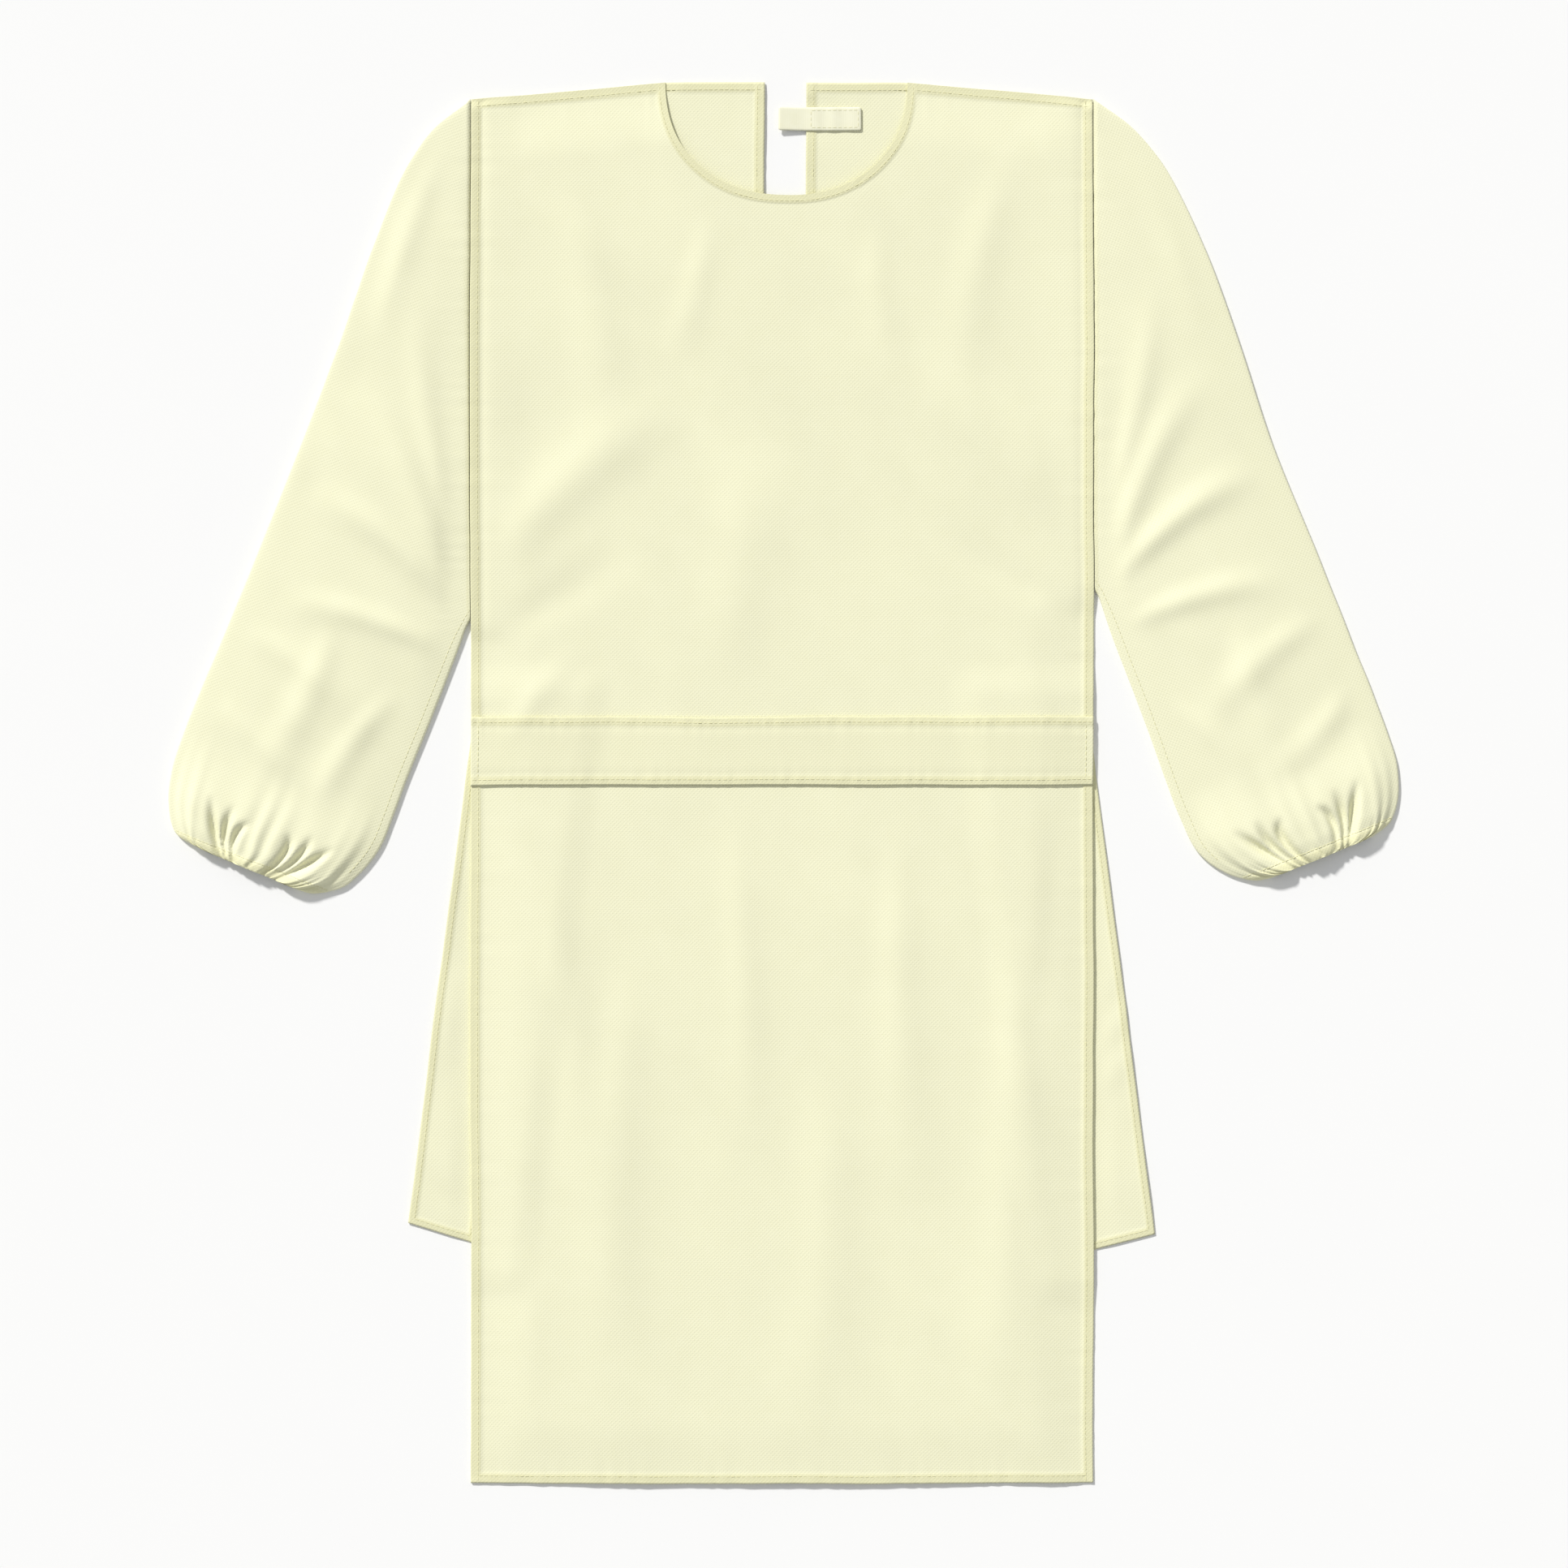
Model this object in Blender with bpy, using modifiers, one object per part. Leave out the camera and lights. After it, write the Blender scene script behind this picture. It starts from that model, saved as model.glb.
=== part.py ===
"""Procedure gown, laid out flat on its back.

One front lies over two back panels with an open strip between them. Two sleeves with
gathered cuffs leave the armholes, a belt band crosses the front waist, two ties lie
under the sides of the back, and a tape tab lies on one back panel inside the neck.

Metres, +Z up, +Y towards the neck. The origin is on the surface the gown lies on, under
the middle of the body. A flat piece is a middle surface worked out on a grid, thickened
by Solidify. A sleeve is a loft through flattened rings, each with its own wall.
"""
import bpy
import numpy as np

# Cloth
WALL = 0.0012               # cloth wall
TAB_WALL = 0.0010           # wall of the neck tab
CLEARANCE = 0.0003          # clear gap at seams and between stacked pieces

# Body
BODY_WIDTH = 0.511
HEM_Y = -0.575
NECK_POINT_Y = 0.575        # level of the neck points and the top of the backs
SHOULDER_TIP_Y = 0.5605
UNDERARM_Y = {"left": 0.135, "right": 0.1597}

# Neck scoop of the front, a flattened half ellipse
NECK_CENTRE_X = 0.004
NECK_HALF_WIDTH = 0.0993
NECK_DEPTH = 0.093
NECK_FULLNESS = 2.2         # 2 is an ellipse, more is squarer

# Open strip between the two backs
BACK_OPENING_LEFT_X = -0.0143
BACK_OPENING_RIGHT_X = 0.0197

# Belt band and ties
BELT_WIDTH = 0.056
BELT_CENTRE_Y = 0.026
BELT_BOTTOM_Y = BELT_CENTRE_Y - BELT_WIDTH / 2
BELT_TOP_Y = BELT_CENTRE_Y + BELT_WIDTH / 2
TIE_TOP_Y = BELT_TOP_Y - 0.004
TIE_COLUMNS = ("side", "outer_top_x", "outer_end_x", "outer_end_y", "end_slope")
TIE_TABLE = (
    ("left", -0.2538, -0.3070, -0.3617, 0.30),
    ("right", 0.2527, 0.3057, -0.3703, 0.26),
)

# Neck tab, on the inner face of the right back
TAB_LENGTH = 0.068
TAB_WIDTH = 0.0193
TAB_CENTRE_X = 0.031
TAB_CENTRE_Y = 0.5453

# How far the upper layer stands clear of the lower one, wall to wall
BODY_LOFT = 0.0022
ARM_LOFT = 0.0014
SLEEVE_LOFT = 0.0026
FOLD_GAP = 0.0012           # clear gap inside the folded edges of a sleeve
EDGE_REACH = 0.060          # distance over which the loft rises from a seam

# Body grid
YOKE_Y = 0.450              # rows above this one follow the shoulders and the neckline
SIDE_CELLS = 6
NECK_CELLS = 14
OPENING_CELLS = 3           # cells of a back between its neck point and its opening
SKIRT_CELLS = 10
BELT_CELLS = 2
CHEST_CELLS = 7
YOKE_CELLS = 4

# The back rises over a tie that lies under it
LIFT_MARGIN = (0.028, 0.020)
LIFT_FADE = 0.030

# Soft folds of the front: a low ridge along a line through its middle
FRONT_FOLD_COLUMNS = ("x", "y", "turn_degrees", "half_length", "half_width", "height")
FRONT_FOLD_TABLE = (
    (-0.170, 0.300, 68, 0.200, 0.040, 0.0010),
    (0.150, 0.280, 112, 0.230, 0.045, 0.0012),
    (-0.020, 0.180, 84, 0.160, 0.050, 0.0008),
    (-0.120, -0.280, 95, 0.260, 0.042, 0.0012),
    (0.090, -0.330, 86, 0.300, 0.048, 0.0011),
    (0.190, -0.180, 76, 0.170, 0.035, 0.0008),
)

# Sleeve sections from the armhole to the elastic edge: the folded outer edge and the
# underarm edge of the flat sleeve, in millimetres
SLEEVE_COLUMNS = ("outer_x", "outer_y", "under_x", "under_y", "steps_to_next")
SLEEVE_TABLES = {
    "left": (
        (-255.8, 560.5, -256.8, 135.8, 1),
        (-287.0, 536.3, -257.6, 133.4, 1),
        (-305.7, 509.7, -258.6, 131.0, 1),
        (-334.3, 443.0, -260.2, 126.3, 1),
        (-358.3, 376.3, -262.2, 121.0, 1),
        (-395.0, 276.3, -265.0, 113.0, 1),
        (-435.7, 176.3, -268.7, 105.7, 1),
        (-463.0, 109.7, -293.7, 39.0, 1),
        (-477.0, 76.3, -307.7, 5.0, 1),
        (-490.3, 43.0, -319.7, -28.3, 2),
        (-501.0, 9.7, -332.3, -57.0, 2),
        (-503.7, -13.7, -349.0, -77.0, 2),
        (-501.6, -33.0, -362.0, -86.7, 1),
        (-495.0, -44.5, -384.0, -91.3, 2),
        (-477.7, -54.3, -399.0, -87.7, 0),
    ),
    "right": (
        (255.8, 561.0, 256.8, 160.5, 1),
        (289.0, 536.3, 257.6, 158.1, 1),
        (311.0, 509.7, 258.6, 155.7, 1),
        (345.0, 443.0, 260.4, 150.3, 1),
        (370.3, 376.3, 262.9, 143.0, 1),
        (403.7, 276.3, 267.0, 131.0, 1),
        (443.7, 176.3, 276.3, 105.7, 1),
        (470.3, 109.7, 301.7, 39.7, 1),
        (483.7, 76.3, 314.3, 5.0, 1),
        (496.3, 43.0, 327.0, -27.7, 2),
        (505.0, 13.0, 342.3, -57.0, 2),
        (506.0, -10.3, 359.0, -71.0, 2),
        (503.0, -23.6, 372.0, -77.0, 1),
        (496.6, -34.5, 390.0, -80.0, 2),
        (484.3, -43.7, 402.3, -77.7, 0),
    ),
}
SLEEVE_CELLS = 25           # cells across one layer of a sleeve
FOLD_STEPS = 3              # cells round a folded edge
INWARD = (0, 3, 2, 1)       # a face turned over, still split along the same diagonal

# Gathers of a cuff, as shares of the width across from the outer edge, with the length
# of each from the elastic edge and how deep it cuts into the puff
PUFF = 0.0045               # how far the puffed cuff lifts off the surface
PUFF_START = 0.095          # distance from the elastic edge where the puff begins
PUFF_FULL = 0.035           # and where it is full
PUFF_SIDE = 0.14            # share of the width over which it rises from each edge
ELASTIC_HEIGHT = 0.7        # share of the puff that is left at the elastic edge
ELASTIC_REACH = 0.020
GATHER_WIDTH = 0.026
GATHER_FADE = 0.012
GATHER_RELEASE = 2.5        # gather lengths from the cuff to where the grid is even again
GATHER_COLUMNS = ("foot", "head", "length", "depth")
GATHER_TABLE = (
    (0.20, 0.20, 0.047, 0.95),
    (0.28, 0.33, 0.046, 0.90),
    (0.36, 0.44, 0.038, 0.80),
    (0.64, 0.61, 0.040, 0.80),
    (0.72, 0.72, 0.047, 0.90),
    (0.80, 0.85, 0.046, 0.95),
)

# Material colours, linear
CLOTH_YELLOW = (0.88, 0.87, 0.64)
TAB_YELLOW = (0.90, 0.89, 0.72)

SIDE_SIGN = {"left": -1.0, "right": 1.0}


def rows_of(columns, table):
    """Give a table's rows as dictionaries, by the names of its columns."""
    return [dict(zip(columns, row)) for row in table]


def ease(share):
    """Rise smoothly from 0 to 1 while share goes from 0 to 1."""
    share = np.clip(share, 0.0, 1.0)
    return share * share * (3.0 - 2.0 * share)


def crown(share):
    """Give a low arch over shares 0 to 1, steep at both ends."""
    return np.sin(np.pi * np.clip(share, 0.0, 1.0)) ** 0.7


def shoulder_line(x):
    """Level of the body's top edge: flat across the neck, then down to the tips."""
    beyond_neck = np.abs(x - NECK_CENTRE_X) - NECK_HALF_WIDTH
    run = BODY_WIDTH / 2 - NECK_HALF_WIDTH - np.sign(x) * NECK_CENTRE_X
    fall = (NECK_POINT_Y - SHOULDER_TIP_Y) / run
    return NECK_POINT_Y - fall * np.maximum(beyond_neck, 0.0)


def neckline(x):
    """Level of the front's top edge: the shoulder line with the scoop cut from it."""
    across = np.clip(np.abs(x - NECK_CENTRE_X) / NECK_HALF_WIDTH, 0.0, 1.0)
    scoop = (1.0 - across ** NECK_FULLNESS) ** (1.0 / NECK_FULLNESS)
    return shoulder_line(x) - NECK_DEPTH * scoop


def tie_edges(tie):
    """Give a function for the x of a tie's outer edge, and its width along x."""
    drop = TIE_TOP_Y - tie["outer_end_y"]
    slope = (tie["outer_end_x"] - tie["outer_top_x"]) / drop
    width_along_x = BELT_WIDTH * np.hypot(1.0, slope)
    return lambda y: tie["outer_top_x"] + slope * (TIE_TOP_Y - y), width_along_x


def tie_lift(x, y):
    """How far the back rises at x, y to clear the ties under it."""
    lift = np.zeros_like(x)
    for tie in rows_of(TIE_COLUMNS, TIE_TABLE):
        outer_edge, width = tie_edges(tie)
        inwards = -SIDE_SIGN[tie["side"]] * (x - outer_edge(y))
        end_y = tie["outer_end_y"] - tie["end_slope"] * width
        beside = np.maximum(np.maximum(-inwards, inwards - width), 0.0)
        beyond = np.maximum(np.maximum(y - TIE_TOP_Y, end_y - y), 0.0)
        clear_x = ease(1.0 - (beside - LIFT_MARGIN[0]) / LIFT_FADE)
        clear_y = ease(1.0 - (beyond - LIFT_MARGIN[1]) / LIFT_FADE)
        lift = np.maximum(lift, (WALL + CLEARANCE) * clear_x * clear_y)
    return lift


def back_height(x, y):
    """Middle surface of the backs."""
    return WALL / 2 + tie_lift(x, y)


def armhole_gap(x, y):
    """Extra gap of the front along an armhole, where it meets the sleeve's upper layer."""
    gap = np.zeros_like(x)
    for side, sign in SIDE_SIGN.items():
        underarm = UNDERARM_Y[side]
        share = (SHOULDER_TIP_Y - y) / (SHOULDER_TIP_Y - underarm)
        at_fold = FOLD_GAP - CLEARANCE
        above_underarm = ease((y - underarm + EDGE_REACH / 2) / (EDGE_REACH / 2))
        near_side = 1.0 - ease((BODY_WIDTH / 2 - sign * x) / EDGE_REACH)
        rise = at_fold * above_underarm + ARM_LOFT * crown(share)
        gap = gap + rise * near_side
    return gap


def front_height(x, y):
    """Middle surface of the front: seamed close to the backs, lofted between the seams."""
    inside = ease((BODY_WIDTH / 2 - np.abs(x)) / EDGE_REACH)
    inside = inside * ease((shoulder_line(x) - y) / EDGE_REACH)
    folds = np.zeros_like(x)
    for fold in rows_of(FRONT_FOLD_COLUMNS, FRONT_FOLD_TABLE):
        turn = np.radians(fold["turn_degrees"])
        along = (x - fold["x"]) * np.cos(turn) + (y - fold["y"]) * np.sin(turn)
        across = (y - fold["y"]) * np.cos(turn) - (x - fold["x"]) * np.sin(turn)
        ridge = np.exp(-((across / fold["half_width"]) ** 2))
        folds = folds + fold["height"] * ridge * ease(1.0 - np.abs(along) / fold["half_length"])
    gap = CLEARANCE + armhole_gap(x, y) + inside * (BODY_LOFT + folds)
    return back_height(x, y) + WALL + gap


def side_columns(side):
    """The x of the grid columns from a side edge to the neck point on that side."""
    sign = SIDE_SIGN[side]
    neck_point = NECK_CENTRE_X + sign * NECK_HALF_WIDTH
    return np.linspace(sign * BODY_WIDTH / 2, neck_point, SIDE_CELLS + 1)


def body_rows():
    """Row levels of the body grid up to the yoke, then shares from the yoke to the edge."""
    skirt = np.linspace(HEM_Y, BELT_BOTTOM_Y, SKIRT_CELLS + 1)
    belt = np.linspace(BELT_BOTTOM_Y, BELT_TOP_Y, BELT_CELLS + 1)
    chest = np.linspace(BELT_TOP_Y, YOKE_Y, CHEST_CELLS + 1)
    levels = np.concatenate([skirt, belt[1:], chest[1:]])
    return levels, np.linspace(0.0, 1.0, YOKE_CELLS + 1)[1:]


def body_grid(columns_at, top_edge):
    """Spread the body rows over the given columns, up to the given top edge."""
    levels, shares = body_rows()
    x = np.array([columns_at(level) for level in levels])
    y = np.repeat(levels[:, None], x.shape[1], axis=1)
    yoke_x = columns_at(YOKE_Y)
    rise = top_edge(yoke_x) - YOKE_Y
    x = np.vstack([x, np.repeat(yoke_x[None, :], len(shares), axis=0)])
    y = np.vstack([y, YOKE_Y + shares[:, None] * rise[None, :]])
    return x, y


def front_columns(level):
    """Even columns at the belt that gather towards the steep ends of the neck scoop."""
    left, right = side_columns("left"), side_columns("right")[::-1]
    turn = np.linspace(0.0, np.pi, NECK_CELLS + 1)
    even = np.linspace(-1.0, 1.0, NECK_CELLS + 1)
    blend = ease((level - BELT_TOP_Y) / (YOKE_Y - BELT_TOP_Y))
    across = (1.0 - blend) * even - blend * np.cos(turn)
    neck = NECK_CENTRE_X + NECK_HALF_WIDTH * across
    return np.concatenate([left, neck[1:-1], right])


def stack(x, y, z):
    """Join three grids of coordinates into one grid of points."""
    return np.stack([x, y, z], axis=-1)


def front_points():
    """Grid of the front's middle surface."""
    x, y = body_grid(front_columns, neckline)
    return stack(x, y, front_height(x, y))


def back_points(side):
    """Grid of one back's middle surface, from its side seam to its opening edge."""
    sides = side_columns(side)
    opening = BACK_OPENING_LEFT_X if side == "left" else BACK_OPENING_RIGHT_X
    inner = np.linspace(sides[-1], opening, OPENING_CELLS + 1)
    columns = np.concatenate([sides, inner[1:]])
    x, y = body_grid(lambda level: columns, shoulder_line)
    return stack(x, y, back_height(x, y))


def belt_points():
    """The front's own points along the belt, moved out to lie on it."""
    first = SKIRT_CELLS
    points = front_points()[first:first + BELT_CELLS + 1].copy()
    points[..., 2] += WALL + CLEARANCE
    return points


def tie_points(tie):
    """Flat strip on the surface, with parallel edges and a slanting end."""
    outer_edge, width = tie_edges(tie)
    inwards = -SIDE_SIGN[tie["side"]]
    share_across, share_down = np.meshgrid(np.linspace(0, 1, 4), np.linspace(0, 1, 11))
    end_y = tie["outer_end_y"] - tie["end_slope"] * width * share_across
    y = TIE_TOP_Y + (end_y - TIE_TOP_Y) * share_down
    x = outer_edge(y) + inwards * width * share_across
    return stack(x, y, np.full_like(x, WALL / 2))


def tab_points():
    """Flat tab on the inner face of the right back, reaching into the opening."""
    x, y = np.meshgrid(
        TAB_CENTRE_X + TAB_LENGTH * np.linspace(-0.5, 0.5, 7),
        TAB_CENTRE_Y + TAB_WIDTH * np.linspace(-0.5, 0.5, 3),
    )
    return stack(x, y, np.full_like(x, WALL + CLEARANCE + TAB_WALL / 2))


def sleeve_edges(side):
    """Smooth the section table into stations: outer edge, underarm edge, way to the cuff."""
    columns = dict(zip(SLEEVE_COLUMNS, np.array(SLEEVE_TABLES[side]).T))
    steps = columns.pop("steps_to_next").astype(int)
    edges = np.stack(list(columns.values()), axis=1) / 1000.0
    knots = np.concatenate([[0.0], np.cumsum(np.linalg.norm(np.diff(edges, axis=0), axis=1))])
    slopes = np.gradient(edges, knots, axis=0)
    stations = []
    for row in range(len(edges) - 1):
        length = knots[row + 1] - knots[row]
        for share in np.arange(steps[row]) / steps[row]:
            blend = ease(share)
            leave = share * (1.0 - share) ** 2 * length
            arrive = share ** 2 * (share - 1.0) * length
            stations.append(
                edges[row] * (1.0 - blend) + edges[row + 1] * blend
                + slopes[row] * leave + slopes[row + 1] * arrive
            )
    stations = np.array(stations + [edges[-1]])
    middles = (stations[:, :2] + stations[:, 2:]) / 2
    way = np.linalg.norm(np.diff(middles, axis=0), axis=1)
    to_cuff = np.concatenate([np.cumsum(way[::-1])[::-1], [0.0]])
    return stations[:, :2], stations[:, 2:], to_cuff


def gather_lines(share, to_cuff):
    """Slide the grid lines of a cuff so that they run along its gathers."""
    gathers = rows_of(GATHER_COLUMNS, GATHER_TABLE)
    feet = [0.0] + [gather["foot"] for gather in gathers] + [1.0]
    heads = [0.0] + [gather["head"] for gather in gathers] + [1.0]
    spread = np.interp(share, feet, heads)
    longest = max(gather["length"] for gather in gathers)
    blend = ease(to_cuff / longest) * ease(GATHER_RELEASE - to_cuff / longest)
    return share + (spread - share) * blend


def cuff_lift(share, to_cuff):
    """Height of the cuff's puff off the surface, cut down to it along each gather."""
    along = ease((PUFF_START - to_cuff) / (PUFF_START - PUFF_FULL))
    along = along * (ELASTIC_HEIGHT + (1.0 - ELASTIC_HEIGHT) * ease(to_cuff / ELASTIC_REACH))
    across = ease(share / PUFF_SIDE) * ease((1.0 - share) / PUFF_SIDE)
    cut = np.zeros_like(across)
    for gather in rows_of(GATHER_COLUMNS, GATHER_TABLE):
        trough = np.exp(-(((share - gather["foot"]) / GATHER_WIDTH) ** 2))
        reach = ease((gather["length"] + GATHER_FADE - to_cuff) / (2 * GATHER_FADE))
        cut = np.maximum(cut, gather["depth"] * trough * reach)
    return PUFF * along * across * (1.0 - cut)


def sleeve_ring(first, last, share, lower, upper, fold_radius):
    """One wall's ring at each station: upper layer, underarm fold, lower layer, outer fold.

    The layers run between the centres of the two folds, which are half circles.
    """
    across = (last - first) / np.linalg.norm(last - first, axis=1)[:, None]
    plan = first[:, None] + (last - first)[:, None] * share[..., None]
    turn = np.radians(90.0 - 180.0 * np.arange(1, FOLD_STEPS) / FOLD_STEPS)
    bulge = across[:, None] * fold_radius * np.cos(turn)[None, :, None]
    fold_z = np.tile(WALL + FOLD_GAP / 2 + fold_radius * np.sin(turn), (len(first), 1))
    under_fold, outer_fold = last[:, None] + bulge, first[:, None] - bulge
    flat = np.concatenate([plan, under_fold, plan[:, ::-1], outer_fold[:, ::-1]], axis=1)
    height = np.concatenate([upper, fold_z, lower[:, ::-1], fold_z[:, ::-1]], axis=1)
    return stack(flat[..., 0], flat[..., 1], height)


def sleeve_rings(side):
    """Rings of the outside and of the inside of a sleeve's wall."""
    outer, under, to_cuff = sleeve_edges(side)
    across = (under - outer) / np.linalg.norm(under - outer, axis=1)[:, None]
    outside_radius = WALL + FOLD_GAP / 2
    first, last = outer + across * outside_radius, under - across * outside_radius

    share, way = np.meshgrid(np.linspace(0.0, 1.0, SLEEVE_CELLS + 1), to_cuff)
    slid = gather_lines(share, way)
    lift = cuff_lift(share, way)
    down_arm = ease((to_cuff[0] - way) / (to_cuff[0] / 2))
    gap = FOLD_GAP + (ARM_LOFT + (SLEEVE_LOFT - ARM_LOFT) * down_arm) * crown(slid)
    inside_low, inside_high = lift + WALL, lift + WALL + gap
    outside = sleeve_ring(first, last, slid, lift, inside_high + WALL, outside_radius)
    inside = sleeve_ring(first, last, slid, inside_low, inside_high, FOLD_GAP / 2)
    return outside, inside


def cloth_material(name, colour, roughness):
    """Dyed nonwoven cloth."""
    material = bpy.data.materials.new(name)
    material.use_nodes = True
    shader = material.node_tree.nodes["Principled BSDF"]
    shader.inputs["Base Color"].default_value = (*colour, 1.0)
    shader.inputs["Roughness"].default_value = roughness
    shader.inputs["Metallic"].default_value = 0.0
    material.diffuse_color = (*colour, 1.0)
    return material


def grid_faces(number):
    """Four-sided faces between the neighbours of a grid of point numbers."""
    corners = (number[:-1, :-1], number[:-1, 1:], number[1:, 1:], number[1:, :-1])
    return np.stack(corners, axis=-1).reshape(-1, 4)


def add_piece(name, points, faces, material, parent):
    """Make a mesh object from points and faces, in the gown's collection."""
    mesh = bpy.data.meshes.new(name)
    mesh.from_pydata(points.reshape(-1, 3).tolist(), [], faces.tolist())
    mesh.shade_smooth()
    mesh.materials.append(material)
    piece = bpy.data.objects.new(name, mesh)
    piece.parent = parent
    parent.users_collection[0].objects.link(piece)
    return piece


def flat_piece(name, points, wall, material, parent):
    """A piece that lies flat: its middle surface, with Solidify as its wall."""
    number = np.arange(points[..., 0].size).reshape(points.shape[:2])
    piece = add_piece(name, points, grid_faces(number), material, parent)
    wall_modifier = piece.modifiers.new("Cloth wall", "SOLIDIFY")
    wall_modifier.thickness = wall
    wall_modifier.offset = 0.0
    return piece


def tube_piece(name, outside, inside, material, parent):
    """A flattened tube: the rings of its outside and inside, joined at both ends."""
    number = np.arange(outside[..., 0].size).reshape(outside.shape[:2])
    out = np.hstack([number, number[:, :1]])
    into = out + number.size
    faces = np.concatenate([
        grid_faces(out),
        grid_faces(into)[:, INWARD],
        grid_faces(np.stack([into[0], out[0]])),
        grid_faces(np.stack([out[-1], into[-1]])),
    ])
    return add_piece(name, np.concatenate([outside, inside]), faces, material, parent)


def build():
    """Clear the scene and make every piece of the gown."""
    for item in list(bpy.data.objects):
        bpy.data.objects.remove(item, do_unlink=True)
    collection = bpy.data.collections.new("procedure_gown")
    bpy.context.scene.collection.children.link(collection)
    gown = bpy.data.objects.new("gown_origin", None)
    collection.objects.link(gown)

    body_cloth = cloth_material("Body nonwoven", CLOTH_YELLOW, 0.75)
    sleeve_cloth = cloth_material("Sleeve nonwoven", CLOTH_YELLOW, 0.75)
    belt_cloth = cloth_material("Belt nonwoven", CLOTH_YELLOW, 0.70)
    tab_tape = cloth_material("Tab tape", TAB_YELLOW, 0.50)

    flat_piece("front", front_points(), WALL, body_cloth, gown)
    flat_piece("belt", belt_points(), WALL, belt_cloth, gown)
    flat_piece("neck_tab", tab_points(), TAB_WALL, tab_tape, gown)
    for side, sign in SIDE_SIGN.items():
        flat_piece(f"back_{side}", back_points(side), WALL, body_cloth, gown)
        sleeve = tube_piece(f"sleeve_{side}", *sleeve_rings(side), sleeve_cloth, gown)
        if sign < 0:
            sleeve.data.flip_normals()
    for tie in rows_of(TIE_COLUMNS, TIE_TABLE):
        flat_piece(f"tie_{tie['side']}", tie_points(tie), WALL, belt_cloth, gown)


build()
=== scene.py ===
import bpy
import numpy as np
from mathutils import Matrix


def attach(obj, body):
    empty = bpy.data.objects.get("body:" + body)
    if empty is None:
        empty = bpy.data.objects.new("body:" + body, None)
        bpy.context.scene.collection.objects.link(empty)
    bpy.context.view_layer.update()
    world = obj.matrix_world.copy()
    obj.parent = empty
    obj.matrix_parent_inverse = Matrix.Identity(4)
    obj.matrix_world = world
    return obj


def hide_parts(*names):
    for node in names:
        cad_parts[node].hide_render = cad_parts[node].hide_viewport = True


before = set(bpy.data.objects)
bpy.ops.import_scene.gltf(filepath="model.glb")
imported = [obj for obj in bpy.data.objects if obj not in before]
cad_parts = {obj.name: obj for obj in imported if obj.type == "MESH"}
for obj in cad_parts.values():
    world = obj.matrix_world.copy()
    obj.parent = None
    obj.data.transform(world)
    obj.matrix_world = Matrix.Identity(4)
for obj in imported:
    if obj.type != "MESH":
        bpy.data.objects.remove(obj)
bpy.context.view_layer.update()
print("procedure gown: frame loaded")

# Sizes of the cut that several pieces share, in metres
gown = {
    "halfWidth": 0.2555, "hemY": -0.575, "neckPointY": 0.575, "shoulderTipY": 0.5605,
    "underarmY": {"left": 0.135, "right": 0.1597},
    "neckCentreX": 0.004, "neckHalfWidth": 0.0993, "neckDepth": 0.093, "neckFullness": 2.2,
    "openingX": {"left": -0.0143, "right": 0.0197},
    "yokeY": 0.450,
    "cloth": 0.0005,             # thickness of the nonwoven cloth
    "hemWidth": 0.0080,          # turned edges and seam allowances
    "hemStep": 0.00045,          # how far the doubled cloth stands up
    "restHeight": 0.0004,        # middle of the cloth that lies on the surface
    "settle": 0.0007,            # how far edges wander from the drawn line
    "bandSoft": 0.0007,          # over which a turned edge begins and ends, each way
}
sideSign = {"left": -1.0, "right": 1.0}


def ease(share):
    # share squared times (3 - 2 share), held between 0 and 1
    share = np.clip(share, 0.0, 1.0)
    return share * share * (3.0 - 2.0 * share)


def crown(share):
    # a low arch: the sine of half a turn, raised to 0.7
    return np.sin(np.pi * np.clip(share, 0.0, 1.0)) ** 0.7


def softNoise(x, y, size, seed):
    # random heights on a square lattice, blended smoothly between the lattice points
    lattice = np.random.default_rng(seed).uniform(-1.0, 1.0, (64, 64))
    turned = (0.82 * x + 0.57 * y, 0.82 * y - 0.57 * x)
    u, v = turned[0] / size[0] + 32.0, turned[1] / size[1] + 32.0
    i, j = np.floor(u).astype(int), np.floor(v).astype(int)
    s, t = ease(u - i), ease(v - j)
    near, far = i % 64, (i + 1) % 64
    low, high = j % 64, (j + 1) % 64
    below = lattice[near, low] * (1 - s) + lattice[far, low] * s
    above = lattice[near, high] * (1 - s) + lattice[far, high] * s
    return below * (1 - t) + above * t


def unevenWave(along, pitch, seed):
    # a sine whose pitch and height both wander, so no two waves are alike
    turn = 2.0 * np.pi * along / pitch
    wander = 1.7 * np.sin(turn / 3.7 + seed) + 1.1 * np.sin(turn / 6.3 + 2.3 * seed)
    height = 0.62 + 0.38 * np.sin(turn / 4.9 + 1.7 * seed)
    return height * np.sin(turn + wander)


def ridges(x, y, table):
    # each row is a soft ridge or trough along a slightly bowed line:
    # height times a bell across it, faded in and out along it
    total = np.zeros_like(x)
    for x0, y0, x1, y1, bow, width, height in table:
        run = np.hypot(x1 - x0, y1 - y0)
        along = ((x - x0) * (x1 - x0) + (y - y0) * (y1 - y0)) / run ** 2
        across = ((y - y0) * (x1 - x0) - (x - x0) * (y1 - y0)) / run
        across = across - bow * 4.0 * along * (1.0 - along)
        spread = width * (0.65 + 0.5 * np.clip(along, 0.0, 1.0))
        fade = ease(along / 0.35) * ease((1.0 - along) / 0.45)
        total = total + height * fade * np.exp(-((across / spread) ** 2))
    return total


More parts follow.
